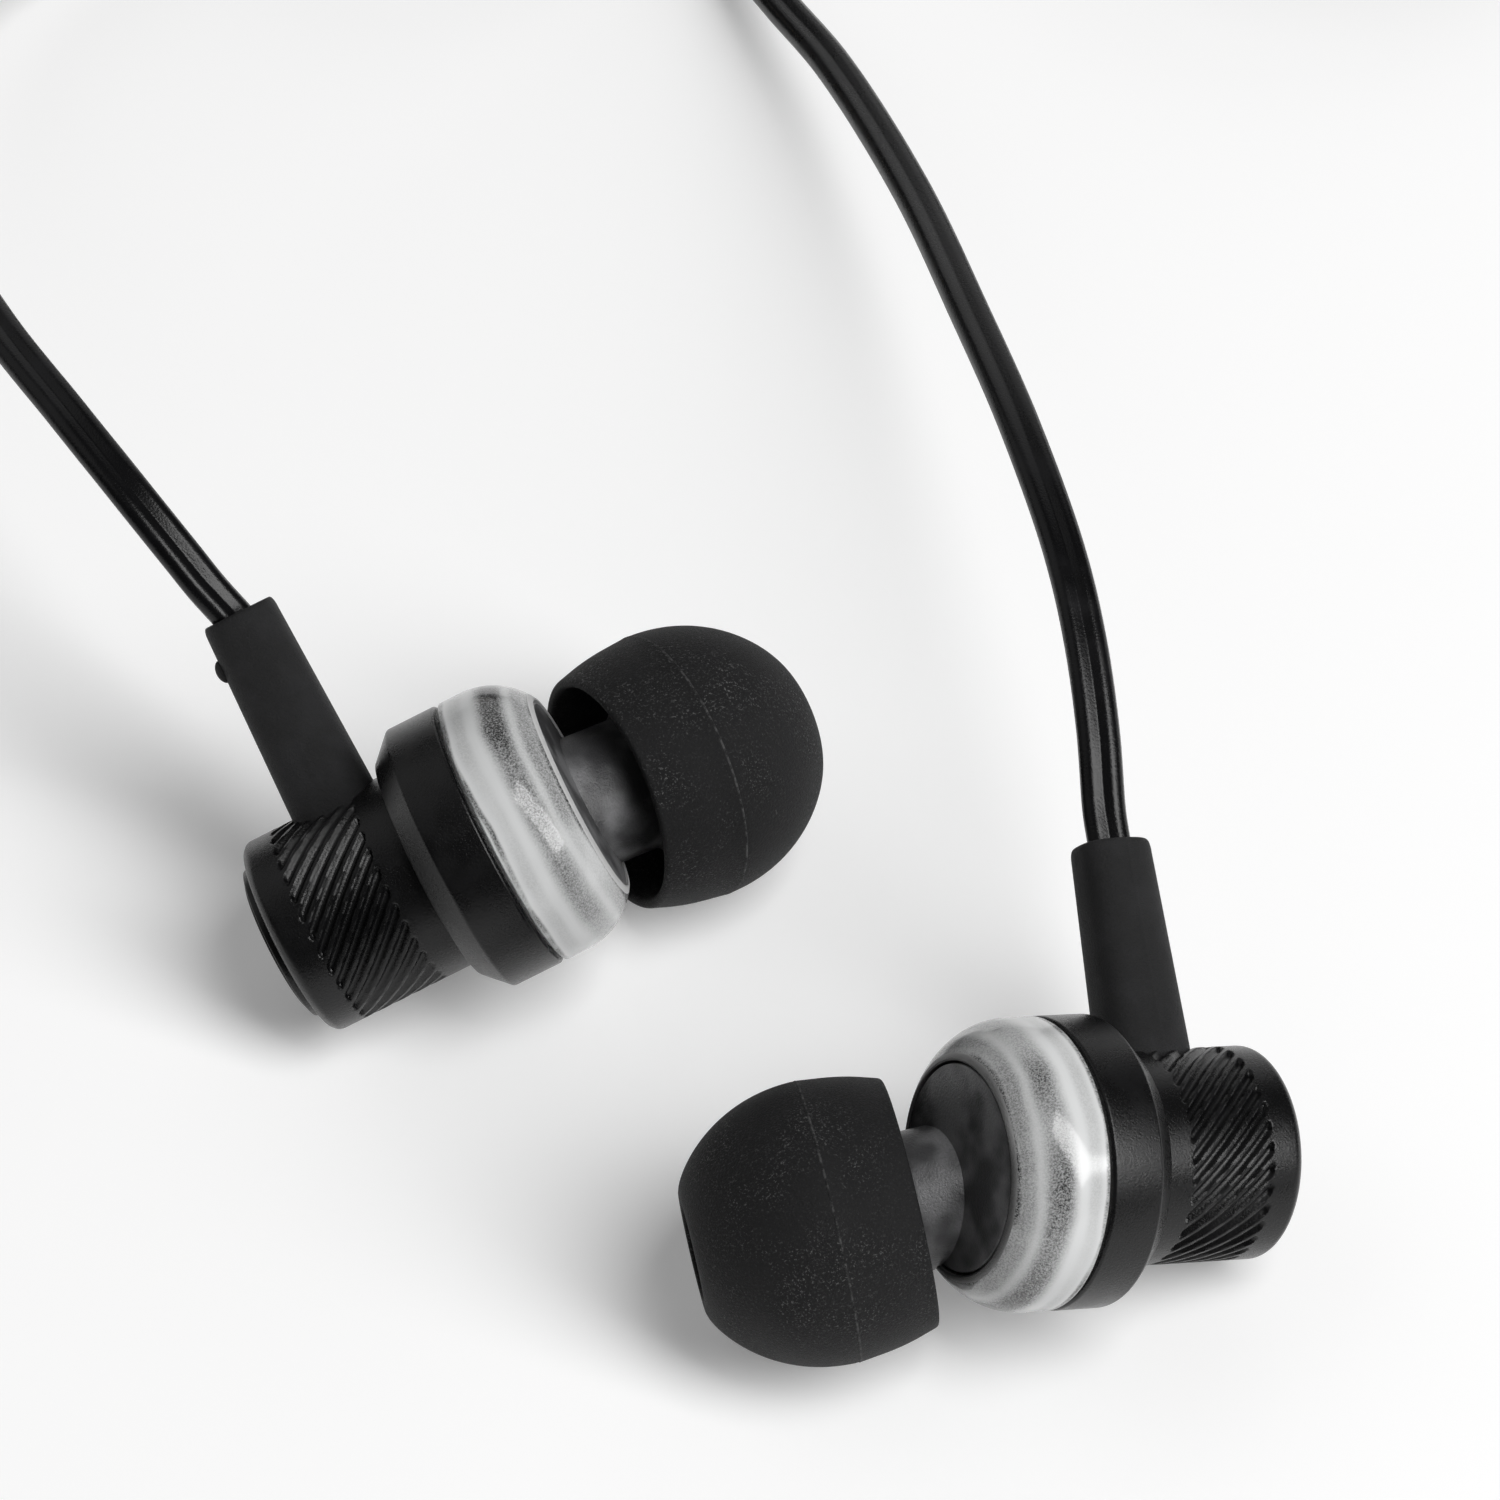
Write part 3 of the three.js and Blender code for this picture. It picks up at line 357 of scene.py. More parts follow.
left_points = [
    *relief_exit("left", -2.6, -1.3),
    [-24.94, 16.11, 15.75], [-25.86, 16.99, 16.5], [-26.98, 18.16, 17.25],
    [-28.11, 19.45, 17.85], [-29.26, 20.91, 18.25], [-30.44, 22.5, 18.5],
    [-31.63, 24.19, 18.65], [-35, 29.5, 18.3], [-38.1, 37, 16.1],
    [-39.4, 45, 12.9], [-40.3, 52.5, 9.9], [-40.2, 59.2, 7.4], [-37.8, 65.2, 5.5],
    [-34, 69.4, 4.6], [-30.7, 72.8, 4.1], [-29, 76, 3.85],
    *end_run(left_winding, "start"),
]
left_lead = [
    *end_run(left_winding, "end")[::-1],
    [-9.3, 97.15, 5.24], [-6.5, 97.76, 4.43], [-2.2, 99.04, 2.76], [0.7, 99.65, 1.95],
    SPLITTER_PLACE + [-1.5, BRANCH_SPREAD, 0], SPLITTER_PLACE + [0.4, BRANCH_SPREAD, 0],
]
right_points = [
    *relief_exit("right", -0.4, 0.3, 1.5),
    [16.02, 8.72, 14.4], [15.49, 12.76, 15.9], [14.65, 17.1, 16.8], [12.8, 24.69, 16.6],
    [10.54, 34.13, 14.2], [7.97, 45.33, 10.3], [4.27, 57.53, 5.9], [1.69, 63.76, 3.6],
    [-0.7, 69.6, 1.7], [-2, 74, 0.8],
    *end_run(right_winding, "start"),
]
right_lead = [
    *end_run(right_winding, "end")[::-1],
    [-2.4, 91.6, 2.06], [-1.68, 94.3, 1.95], [0.3, 96.28, 1.83],
    SPLITTER_PLACE + [-1.5, -BRANCH_SPREAD, 0], SPLITTER_PLACE + [0.4, -BRANCH_SPREAD, 0],
]
main_start = SPLITTER_PLACE + [SPLITTER_LENGTH, 0, 0]
main_points = [
    main_start - [0.4, 0, 0], main_start + [1.5, 0, 0], [20, 98.4, 1.49], [22.6, 98.4, 0.75],
    *end_run(main_winding, "start"),
]
plug_points = [
    *end_run(main_winding, "end")[::-1],
    [12.86, 90.15, 5.88], [10.85, 92.16, 6.98], [8.1, 92.9, 8.25], [5.6, 92.9, 9],
    PLUG_PLACE + [1.5, 0, 0], PLUG_PLACE - [0.4, 0, 0],
]


def cord(name, path, length, leaves_at, far_end, with_pieces, *nodes):
    """A piece of twin cord along a path. Its real length is not used."""
    piece = made(name, closed(along(path, twin_section())), cord_rubber, sharp=60)
    belongs(piece, "earphones", "cord", *nodes)
    leaves_at / 1000


cord(
    "left_branch", route(through(left_points), left_winding, through(left_lead)),
    BRANCH_LENGTH, placed([-RELIEF_PLACE, 0, RELIEF_END], "left"), "fitting", ["y_splitter"],
    "left_cord", "left_coil", "left_lead",
)
cord(
    "right_branch", route(through(right_points), right_winding, through(right_lead)),
    BRANCH_LENGTH, placed([-RELIEF_PLACE, 0, RELIEF_END], "right"), "fitting", ["y_splitter"],
    "right_cord", "right_coil", "right_lead",
)
cord(
    "main_branch", route(through(main_points), main_winding, through(plug_points)),
    MAIN_LENGTH, main_start, "plug",
    ["plug_boot", "plug_shell", "plug_sleeve", "plug_ring", "plug_insulator", "plug_tip"],
    "main_lead", "main_coil", "plug_lead",
)

# ---------------------------------------------------------------- end cap
# A thin turned aluminium cap, black anodised, pressed into the back of the barrel, with a
# shallow step round its face.
BARREL_REAR = 11.15
CAP_RADIUS = 3.75
CAP_STEP = 0.14
CAP_GAP = 0.05  # behind the barrel's rear face
CAP_PLUG = 3.0
CAP_DEPTH = 0.75


def rounded(corners, steps=5):
    """A profile from corners of (place, radius, fillet): each corner becomes the quadratic
    curve of itself and the two points a fillet's length before and after it.
    """
    points = np.array([c[:2] for c in corners], float)
    fillets = [c[2] if len(c) == 3 else 0 for c in corners]
    out = []
    for n, (here, fillet) in enumerate(zip(points, fillets)):
        if not fillet or n in (0, len(points) - 1):
            out.append(here[None])
            continue
        before, after = points[n - 1] - here, points[n + 1] - here
        reach = [min(fillet, np.linalg.norm(v) * 0.48) for v in (before, after)]
        start, end = here + unit(before) * reach[0], here + unit(after) * reach[1]
        t = np.linspace(0, 1, steps)[:, None]
        out.append((1 - t) ** 2 * start + 2 * t * (1 - t) * here + t**2 * end)
    return np.vstack(out)


def turned(profile, steps=160):
    """A profile of (place, radius) turned round X: (x, r cos a, r sin a)."""
    profile = np.asarray(profile, float)
    a = np.arange(steps) * 2 * np.pi / steps
    x, r = profile[:, :1], profile[:, 1:]
    return np.stack([x + 0 * a, r * np.cos(a), r * np.sin(a)], axis=-1)


def anodised_look(s):
    """Blasted and anodised metal: almost black, with soft clouds in its gloss."""
    blast = s.noise(9.0, 3.0, roughness=0.7)
    cloud = s.noise(0.6, 2.0).ramp(0.35, 0.7)
    return {
        "Base_Color": cloud.mix((0.002, 0.002, 0.0022), (0.004, 0.004, 0.0044)),
        "Roughness": 0.2 + cloud * 0.05 + blast * 0.12,
        "Normal": blast.bump(0.02),
    }


anodised = finish("black_anodised", anodised_look, Specular_IOR_Level=0.36)


def cap(side):
    """The cap, turned: its face, the step round it, and the plug that sits in the barrel."""
    profile = rounded([
        (-CAP_FACE, 0), (-CAP_FACE, CAP_RADIUS - 0.42, 0.06),
        (-CAP_FACE + CAP_STEP, CAP_RADIUS - 0.38, 0.05), (-CAP_FACE + CAP_STEP, CAP_RADIUS, 0.08),
        (-BARREL_REAR - CAP_GAP, CAP_RADIUS, 0.03), (-BARREL_REAR - CAP_GAP, CAP_PLUG, 0.03),
        (-BARREL_REAR + CAP_DEPTH, CAP_PLUG, 0.1), (-BARREL_REAR + CAP_DEPTH, 0),
    ])
    piece = made(side + "_cap", placed(turned(profile), side), anodised)
    belongs(piece, "earphones", "anodised", side + "_end_cap")


for side in SIDES:
    cap(side)

# ---------------------------------------------------------------- knurled barrel
# A turned aluminium tube, black anodised. A ball-ended cutter has run thirty-two slanting
# grooves round its middle, each with a rounded end, the same way round on both earpieces.
BARREL_BORE = 4.04
REAR_OPENING = 3.2
BARREL_FRONT = 2.6
KNURL_REAR, KNURL_LENGTH = 9.52, 4.4
KNURL_COUNT = 32
KNURL_DEPTH = 0.24
GROOVE_HALF = 0.23


def knurled(x, a):
    """The barrel's radius at place x and angle a: each groove is a line at 45 degrees of
    finite length, and its depth falls with the square of the distance from it. The power
    of 0.8 makes its floor a little rounder.
    """
    middle = KNURL_LENGTH / 2 - KNURL_REAR
    pitch = 2 * np.pi / KNURL_COUNT
    turn = (a + (x - middle) / BARREL_RADIUS) / pitch
    aside = (turn - np.round(turn)) * pitch * BARREL_RADIUS * np.sqrt(0.5)
    on = np.abs(x - middle) * np.sqrt(2)
    past = np.maximum(on - (KNURL_LENGTH / 2 - GROOVE_HALF) * np.sqrt(2), 0)
    depth = 1 - (aside**2 + past**2) / GROOVE_HALF**2
    return BARREL_RADIUS - KNURL_DEPTH * np.clip(depth, 0, 1) ** 0.8


def barrel(side):
    """The barrel as one closed ring: its rear edge, the grooved band with sixteen columns
    to a groove, and the bore. The rear edge's last corner only shapes the one before it.
    """
    rear = rounded([
        (-BARREL_REAR, REAR_OPENING, 0.05), (-BARREL_REAR, 4.15, 0.12),
        (-BARREL_REAR + 0.12, 4.55, 0.1), (-BARREL_REAR + 0.4, BARREL_RADIUS, 0.2),
        (-BARREL_REAR + 1.2, BARREL_RADIUS),
    ])[:-1]
    band = np.linspace(-BARREL_REAR + 1.0, -KNURL_REAR + KNURL_LENGTH + 0.3, 84)
    bore = rounded([
        (-BARREL_FRONT, BARREL_RADIUS), (-BARREL_FRONT, BARREL_BORE),
        (-BARREL_REAR + CAP_DEPTH, BARREL_BORE), (-BARREL_REAR + CAP_DEPTH, REAR_OPENING),
        (-BARREL_REAR, REAR_OPENING),
    ])
    steps = KNURL_COUNT * 16
    a = np.arange(steps) * 2 * np.pi / steps
    r = knurled(band[:, None], a[None])
    x = np.broadcast_to(band[:, None], r.shape)
    grooved = np.stack([x, r * np.cos(a), r * np.sin(a)], axis=-1)
    grid = np.concatenate([turned(rear, steps), grooved, turned(bore, steps)])
    piece = made(side + "_barrel", placed(grid, side), anodised, ring=True)
    belongs(piece, "earphones", "anodised", side + "_knurled_barrel")


for side in SIDES:
    barrel(side)

# ---------------------------------------------------------------- metal ring
# A turned aluminium ring, black anodised, with a wide chamfer towards the barrel. The clear
# housing's spigot is glued into its front bore, against a lip.
HOUSING_RADIUS = 6.6
RING_REAR, RING_FRONT = 3.7, 0.1
RING_REAR_RADIUS = 5.47
CHAMFER_FRONT = 2.57
BARREL_SEAT = BARREL_RADIUS + 0.2
SPIGOT_SEAT = 6.0
LIP_REAR, LIP_FRONT, LIP_RADIUS = 2.4, 2.2, 4.3


def ring(side):
    """The ring, turned as one closed profile from the barrel's seat round to the lip."""
    profile = rounded([
        (-3.0, BARREL_SEAT), (-RING_REAR + 0.08, BARREL_SEAT),
        (-RING_REAR, BARREL_SEAT + 0.08, 0.03), (-RING_REAR, RING_REAR_RADIUS, 0.05),
        (-CHAMFER_FRONT, HOUSING_RADIUS, 0.1), (-RING_FRONT - 0.09, HOUSING_RADIUS, 0.08),
        (-RING_FRONT, HOUSING_RADIUS - 0.12, 0.05), (-RING_FRONT, SPIGOT_SEAT, 0.03),
        (-LIP_FRONT, SPIGOT_SEAT), (-LIP_FRONT, LIP_RADIUS), (-LIP_REAR, LIP_RADIUS),
        (-LIP_REAR, BARREL_SEAT),
    ], steps=6)
    piece = made(side + "_ring", placed(turned(profile, 200), side), anodised, ring=True)
    belongs(piece, "earphones", "anodised", side + "_housing_ring")


for side in SIDES:
    ring(side)

# ---------------------------------------------------------------- clear front housing
# A moulded shell of clear plastic with polished outsides and a frosted bore, glued into the
# ring by its spigot. Its rounded shoulder ends in the opening that holds the nozzle's disc.
SPIGOT_REAR, SPIGOT_RADIUS = 1.6, 5.8
HOUSING_REAR, HOUSING_BORE = 0.1, 4.95
FRONT_CYLINDER = 1.2  # where the shoulder starts
SHOULDER_RADIUS = 3.4
DISC_RADIUS, DISC_THICKNESS = 4.67, 0.9
OPENING = DISC_RADIUS + 0.12
SHOULDER_END = DISC_RADIUS + 0.2
STOP_LENGTH, STOP_RADIUS = 0.6, 4.2
STOP_GAP = 0.2  # behind the disc


def shoulder(grow=0.0):
    """The arc from the housing's cylinder to the opening for the disc: at angle a it lies
    at (r sin a, r cos a) from its centre, with its radius grown by that much.
    """
    centre = HOUSING_RADIUS - SHOULDER_RADIUS
    a = np.linspace(0, np.arccos((SHOULDER_END - centre) / SHOULDER_RADIUS), 24)
    r = SHOULDER_RADIUS + grow
    return np.stack([FRONT_CYLINDER + r * np.sin(a), centre + r * np.cos(a)], axis=1)


DISC_FRONT = shoulder()[-1, 0]
STOP_FRONT = DISC_FRONT - DISC_THICKNESS - STOP_GAP
STOP_REAR = STOP_FRONT - STOP_LENGTH


def housing_profile():
    """The housing's outside from its spigot over the shoulder, then its opening and bore."""
    spigot = rounded([
        (-SPIGOT_REAR, HOUSING_BORE + 0.05), (-SPIGOT_REAR, SPIGOT_RADIUS, 0.1),
        (HOUSING_REAR, SPIGOT_RADIUS), (HOUSING_REAR, HOUSING_RADIUS - 0.06),
        (HOUSING_REAR + 0.06, HOUSING_RADIUS),
    ])
    inside = rounded([
        (DISC_FRONT - 0.02, OPENING), (STOP_FRONT, OPENING, 0.1), (STOP_FRONT, STOP_RADIUS, 0.1),
        (STOP_REAR, STOP_RADIUS, 0.1), (STOP_REAR, HOUSING_BORE), (-SPIGOT_REAR, HOUSING_BORE),
    ])
    return np.vstack([spigot, shoulder(), inside])


# How far along the profile the shoulder and the bore start.
shoulder_row = np.argmax(housing_profile()[:, 0] >= FRONT_CYLINDER)
steps_along = np.linalg.norm(np.diff(housing_profile(), axis=0), axis=1)
SHOULDER_FROM = steps_along[:shoulder_row].sum()
BORE_FROM = steps_along[:-1].sum()


def bands(s, start, *rows):
    """How much painted shade the wall gets: the sum of bands round the housing. A row gives a
    band's middle past the start, its half width, its strength, and the waves a millimetre of the
    noise that fades it. All are bent by one slow noise.
    """
    place = s.node("UVMap", {"uv_map": "along"})
    wavy = s.node("SeparateXYZ", Vector=place) - start + (s.noise(0.22, 2.0) - 0.5) * 0.6
    dark = 0
    for middle, half, strength, fading in rows:
        band = 1 - s.maths("ABSOLUTE", wavy - middle).ramp(half * 0.2, half)
        patches = s.noise(fading, 2.0).ramp(0.3, 0.58)
        dark = band * (0.35 + patches * 0.65) * strength + dark
    return dark


def clear_and_shade_look(s):
    """Polished outsides, a little milky, with painted shade on them: the dark driver's rim and the
    shaded inside, as seen through the wall, are painted on as a wide stippled band, with fainter
    ones beside it and two thin ones at the seam and the lip.
    """
    grit = s.noise(11.0, 2.0, roughness=0.8).ramp(0.3, 0.7)
    # Painted shade: the inside, seen through the wall, drawn as dark stippled bands on the outside.
    dark = bands(
        s, SHOULDER_FROM, (1.35, 1.0, 1.2, 0.1), (-0.3, 0.5, 0.26, 0.2),
        (2.75, 0.75, 0.7, 0.2), (-0.98, 0.2, 0.9, 0.5), (3.36, 0.34, 0.8, 0.3),
    )
    stippled = dark * (0.5 + 0.6 * grit)
    return {"Base_Color": stippled.mix((0.97, 0.98, 0.98), (0.03, 0.03, 0.03))}


def frost_and_shade_look(s):
    """A milky, gritty bore, with painted shade where the driver's rim and the disc's edge lie behind it."""
    grit = s.noise(12.0, 2.0, roughness=0.7)
    # Painted shade: dark bands where the rim and the disc's edge lie behind the bore.
    dark = bands(s, BORE_FROM, (0.3, 0.9, 0.5, 0.16), (-2.6, 1.6, 1.0, 0.02))
    return {
        "Base_Color": dark.mix((0.98, 0.98, 0.98), (0.04, 0.04, 0.04)),
        "Roughness": 0.3 + grit * 0.35,
        "Normal": grit.bump(0.06),
    }


clear_plastic = finish(
    "clear_plastic", clear_and_shade_look, Roughness=0.14, IOR=1.5, Transmission_Weight=0.35,
)
frosted_plastic = finish("frosted_plastic", frost_and_shade_look, IOR=1.49, Transmission_Weight=0.06)


def front_housing(side):
    """The housing, turned. A face is frosted behind the rear edge, on the spigot, and near
    the axis, in the bore and the opening and on the opening's lip.
    """
    grid = placed(turned(housing_profile(), 200), side)
    piece = made(side + "_clear_housing", grid, clear_plastic, ring=True)
    piece.data.materials.append(frosted_plastic)
    belongs(piece, "earphones", "clear", side + "_front_housing")
    seam, axes = SIDES[side]
    middles = np.empty(len(piece.data.polygons) * 3)
    piece.data.polygons.foreach_get("center", middles)
    local = (middles.reshape(-1, 3) * 1000 - seam) @ axes.T
    frosted = local[:, 0] < HOUSING_REAR - 0.02
    frosted |= np.hypot(local[:, 1], local[:, 2]) < OPENING + 0.3
    piece.data.polygons.foreach_set("material_index", frosted.astype(np.int32))


for side in SIDES:
    front_housing(side)

# ---------------------------------------------------------------- nozzle
# A moulding of smoked plastic, frosted all over: a disc that closes the front housing, and
# a collar and spout that leave it at an angle, over the housing's shoulder.
NOZZLE_CROSS = -2.54  # where the spout's axis crosses the housing's
TIP_CENTRE = 11.98  # along the spout's axis from there
NOZZLE_REAR = -0.6 * TIP_CENTRE
COLLAR_RADIUS, COLLAR_END = 3.2, -2.1
SPOUT_RADIUS, SPOUT_END = 2.45, 3.6
BARB_RADIUS = SPOUT_RADIUS + 0.22
NOZZLE_BORE = 1.35
FELT_REAR, FELT_RADIUS = 1.85, 1.9
MESH_REAR, MESH_RADIUS = 3.1, 2.1
FAR = 13  # past every part of the nozzle


def smoked_look(s):
    """Frosted smoky plastic, with paler clouds and a fine grit."""
    grit = s.noise(8.0, 3.0, roughness=0.7)
    cloud = s.noise(0.38, 2.0).ramp(0.4, 0.64)
    pale = cloud * (0.3 + grit * 1.2)
    return {
        "Base_Color": pale.mix((0.05, 0.05, 0.052), (0.2, 0.2, 0.205)),
        "Roughness": 0.2 + grit * 0.25,
        "Normal": grit.bump(0.04),
    }


smoked_plastic = finish("smoked_plastic", smoked_look, IOR=1.49, Transmission_Weight=0.15)


def on_spout(points, side):
    """Points of the nozzle's own frame, X along the spout and 0 at the ear tip's widest
    circle, in the earpiece's frame: tilted from X, towards a known turn from Z.
    """
    hand = 1 if side == "left" else -1
    lean = np.array([0, hand * np.sin(NOZZLE_TURN), np.cos(NOZZLE_TURN)])
    x = np.array([np.cos(NOZZLE_TILT), 0, 0]) + np.sin(NOZZLE_TILT) * lean
    y = unit(np.cross([0, 0, 1], x))
    z = np.cross(x, y)
    centre = np.array([NOZZLE_CROSS, 0, 0]) + TIP_CENTRE * x
    return centre + np.asarray(points) @ np.array([x, y, z])


def smoked(name, profile, side, tilted, ring=False):
    """A profile turned about the spout's axis where it is tilted, or else the housing's."""
    grid = on_spout(turned(profile, 96), side) if tilted else turned(profile, 128)
    return made(f"{side}_{name}", placed(grid, side), smoked_plastic, ring=ring)


def cut(piece, operation, other):
    """Joins other to the piece, or cuts it out of it, and removes other."""
    step = piece.modifiers.new("cut", "BOOLEAN")
    step.operation, step.solver, step.object = operation, "EXACT", other
    bpy.context.view_layer.update()
    shaped = piece.evaluated_get(bpy.context.evaluated_depsgraph_get())
    result = bpy.data.meshes.new_from_object(shaped)
    piece.modifiers.clear()
    piece.data = result
    bpy.data.objects.remove(other)


def nozzle(side):
    """The collar and barbed spout, less the housing's shoulder and all that would stand
    behind the disc, joined to the disc and bored for the sound, the felt and the mesh.
    """
    disc_rear, disc_face = DISC_FRONT - DISC_THICKNESS, DISC_FRONT - 0.06
    spout = rounded([
        (NOZZLE_REAR, 0), (NOZZLE_REAR, COLLAR_RADIUS), (COLLAR_END, COLLAR_RADIUS, 0.2),
        (COLLAR_END, SPOUT_RADIUS, 0.1), (SPOUT_END - 0.9, SPOUT_RADIUS, 0.15),
        (SPOUT_END - 0.55, BARB_RADIUS, 0.15), (SPOUT_END - 0.2, BARB_RADIUS, 0.12),
        (SPOUT_END, SPOUT_RADIUS - 0.2, 0.1), (SPOUT_END, 0),
    ])
    saddle = np.vstack([
        [(-FAR, OPENING), (-FAR, HOUSING_RADIUS + 0.1)], shoulder(grow=0.1),
        [(DISC_FRONT + 0.1, OPENING)],
    ])
    behind = [(-FAR, 0), (-FAR, FAR), (disc_rear, FAR), (disc_rear, 0)]
    disc = rounded([
        (disc_rear, 0), (disc_rear, DISC_RADIUS, 0.05), (disc_face, DISC_RADIUS, 0.08),
        (disc_face, 0),
    ])
    bore = [
        (NOZZLE_REAR - 1, 0), (NOZZLE_REAR - 1, NOZZLE_BORE), (FELT_REAR, NOZZLE_BORE),
        (FELT_REAR, FELT_RADIUS), (MESH_REAR, FELT_RADIUS), (MESH_REAR, MESH_RADIUS),
        (SPOUT_END + 1, MESH_RADIUS), (SPOUT_END + 1, 0),
    ]
    piece = smoked("nozzle_body", spout, side, True)
    cut(piece, "DIFFERENCE", smoked("saddle", saddle, side, False, ring=True))
    cut(piece, "DIFFERENCE", smoked("behind", behind, side, False))
    cut(piece, "UNION", smoked("disc", disc, side, False))
    cut(piece, "DIFFERENCE", smoked("bore", bore, side, True))
    piece.data.shade_smooth()
    piece.data.set_sharp_from_angle(angle=np.radians(35))
    belongs(piece, "earphones", "smoked", side + "_nozzle")


for side in SIDES:
    nozzle(side)

# ---------------------------------------------------------------- ear tip
# A soft silicone dome, matte black and a little dusty, with a fine mould line round its
# widest circle. Its inner tube grips the spout, and it pulls off forwards.
TIP_RADIUS = 6.45
TIP_REAR, TIP_RIM = 3.8, 5.74
TIP_FRONT, TIP_FLAT = 6.2, 2.8
TIP_WALL, RIM_WALL = 0.85, 0.5
MOUTH_RADIUS = 2.15
TUBE_BORE, TUBE_RADIUS = 2.75, 3.65
TUBE_REAR, TUBE_FRONT = -1.8, 3.9
MOULD_LINE = 4.4  # along the profile from its start inside the rim


def silicone_look(s):
    """Matte silicone, with pale dust in patches and a mould line drawn pale in broken dashes."""
    cloud = s.noise(0.35, 4.0).ramp(0.35, 0.75)
    grain = s.noise(9.0, 3.0, roughness=0.75)
    dust = s.noise(8.5, 3.0, roughness=0.8).ramp(0.54, 0.7) * (0.12 + cloud * 0.9)
    place = s.node("UVMap", {"uv_map": "along"})
    across = s.node("SeparateXYZ", Vector=place) - MOULD_LINE
    line = 1 - s.maths("ABSOLUTE", across).ramp(0.02, 0.09)
    pale_dashes = line * s.noise(2.4, 4.0, roughness=0.75).ramp(0.4, 0.68) * 0.5
    pale = s.maths("MAXIMUM", dust, pale_dashes)
    return {
        "Base_Color": pale.mix((0.0055, 0.0055, 0.006), (0.14, 0.14, 0.14)),
        "Roughness": 0.55 + cloud * 0.1 + grain * 0.2,
        "Normal": grain.bump(0.07),
    }


silicone = finish("black_silicone", silicone_look, Specular_IOR_Level=0.27)


def tip_outside():
    """The dome's profile: a rounded rim, a slightly flared skirt, the mould line's tiny
    step, then a superellipse from the widest circle to the flat front.
    """
    skirt = rounded([
        (-TIP_REAR + 0.2, TIP_RIM - RIM_WALL), (-TIP_REAR, TIP_RIM - 0.4, 0.15),
        (-TIP_REAR, TIP_RIM - 0.05, 0.2), (-TIP_REAR * 0.55, TIP_RADIUS - 0.24, 1.2),
        (-0.05, TIP_RADIUS, 0.0),
    ], steps=10)
    t = np.linspace(0.012, 1, 60) ** 0.75
    dome = TIP_FLAT + (TIP_RADIUS - TIP_FLAT) * (1 - t**2.15) ** (1 / 1.35)
    line = [(-0.02, TIP_RADIUS + 0.012), (0.03, TIP_RADIUS + 0.012), (0.06, TIP_RADIUS - 0.012)]
    front = np.stack([TIP_FRONT * t, dome], axis=1)
    return np.vstack([skirt, line, front])


def ear_tip(side):
    """The tip as one closed ring: its outside, its mouth, the inside of the tube that grips
    the spout, the tube's outside, and the dome's inside back to the rim.
    """
    inside = rounded([
        (TIP_FRONT, TIP_FLAT), (TIP_FRONT + 0.02, MOUTH_RADIUS, 0.15),
        (TUBE_FRONT, MOUTH_RADIUS, 0.05), (TUBE_FRONT, TUBE_BORE, 0.05),
        (TUBE_REAR, TUBE_BORE, 0.1), (TUBE_REAR, TUBE_RADIUS, 0.15),
        (2.3, TUBE_RADIUS, 0.3), (2.8, 4.1, 0.3), (2.2, 4.85, 0.6),
        (0.0, TIP_RADIUS - TIP_WALL, 1.0), (-TIP_REAR + 0.2, TIP_RIM - RIM_WALL),
    ])
    grid = on_spout(turned(np.vstack([tip_outside(), inside[1:]]), 180), side)
    piece = made(side + "_silicone_tip", placed(grid, side), silicone, ring=True)
    belongs(piece, side + "_tip", "silicone", side + "_ear_tip")


for side in SIDES:
    ear_tip(side)

# ---------------------------------------------------------------- strain relief
# A matte rubber sleeve moulded round the cord, oval in section and slightly tapered, with
# the seam of its mould along it. The left one has a small raised dot to tell it by touch.
RELIEF_FOOT = 3.1  # inside the barrel
RELIEF_BASE = np.array([2.07, 1.87])
RELIEF_TOP = np.array([1.76, 1.56])
RIDGE_HEIGHT, RIDGE_WIDTH = 0.012, 0.035  # as shares of the outline's size
DOT_RADIUS = 0.42
DOT_STRETCH = [0.85, 1, 1.35]
DOT_PLACE = 2.15  # below the relief's end


def rubber_look(s):
    """Matte moulded rubber with a fine grain."""
    grain = s.noise(10.0, 4.0, roughness=0.7)
    cloud = s.noise(0.5, 3.0).ramp(0.4, 0.7)
    return {
        "Base_Color": cloud.mix((0.006, 0.006, 0.0065), (0.011, 0.011, 0.012)),
        "Roughness": 0.5 + grain * 0.25,
        "Normal": grain.bump(0.07),
    }


relief_rubber = finish("relief_rubber", rubber_look, Specular_IOR_Level=0.35)


def oval(steps=96, power=2.6):
    """A superellipse: the point at angle a lies where |x|^p + |y|^p is 1."""
    a = np.arange(steps) * 2 * np.pi / steps
    k = (np.abs(np.cos(a)) ** power + np.abs(np.sin(a)) ** power) ** (-1 / power)
    return np.stack([np.cos(a) * k, np.sin(a) * k], axis=1)


def relief(side):
    """An oval that goes evenly from the base's size to the top's, is drawn in round its
    end, and has a fine bell-shaped ridge down the middle of both broad sides.
    """
    body = np.linspace(RELIEF_FOOT, RELIEF_END - 0.6, 40)
    end = rounded([(RELIEF_FOOT, 0), (RELIEF_END - 0.01, 0, 0.5), (RELIEF_END, 0.38)], steps=10)
    z = np.concatenate([body, end[1:, 0]])
    drawn_in = np.concatenate([0 * body, end[1:, 1]])[:, None]
    t = np.clip((z - BARREL_RADIUS) / (RELIEF_END - BARREL_RADIUS), 0, 1)[:, None]
    half = (1 - t) * RELIEF_BASE + t * RELIEF_TOP - drawn_in
    outline = oval()
    outline *= 1 + RIDGE_HEIGHT * np.exp(-((outline[:, :1] / RIDGE_WIDTH) ** 2))
    x = outline[:, 0] * half[:, :1] - RELIEF_PLACE
    y = outline[:, 1] * half[:, 1:]
    grid = np.stack([x, y, np.broadcast_to(z[:, None], x.shape)], axis=-1)
    piece = made(side + "_relief", placed(closed(grid), side), relief_rubber)
    belongs(piece, "earphones", "relief", side + "_strain_relief")


for side in SIDES:
    relief(side)


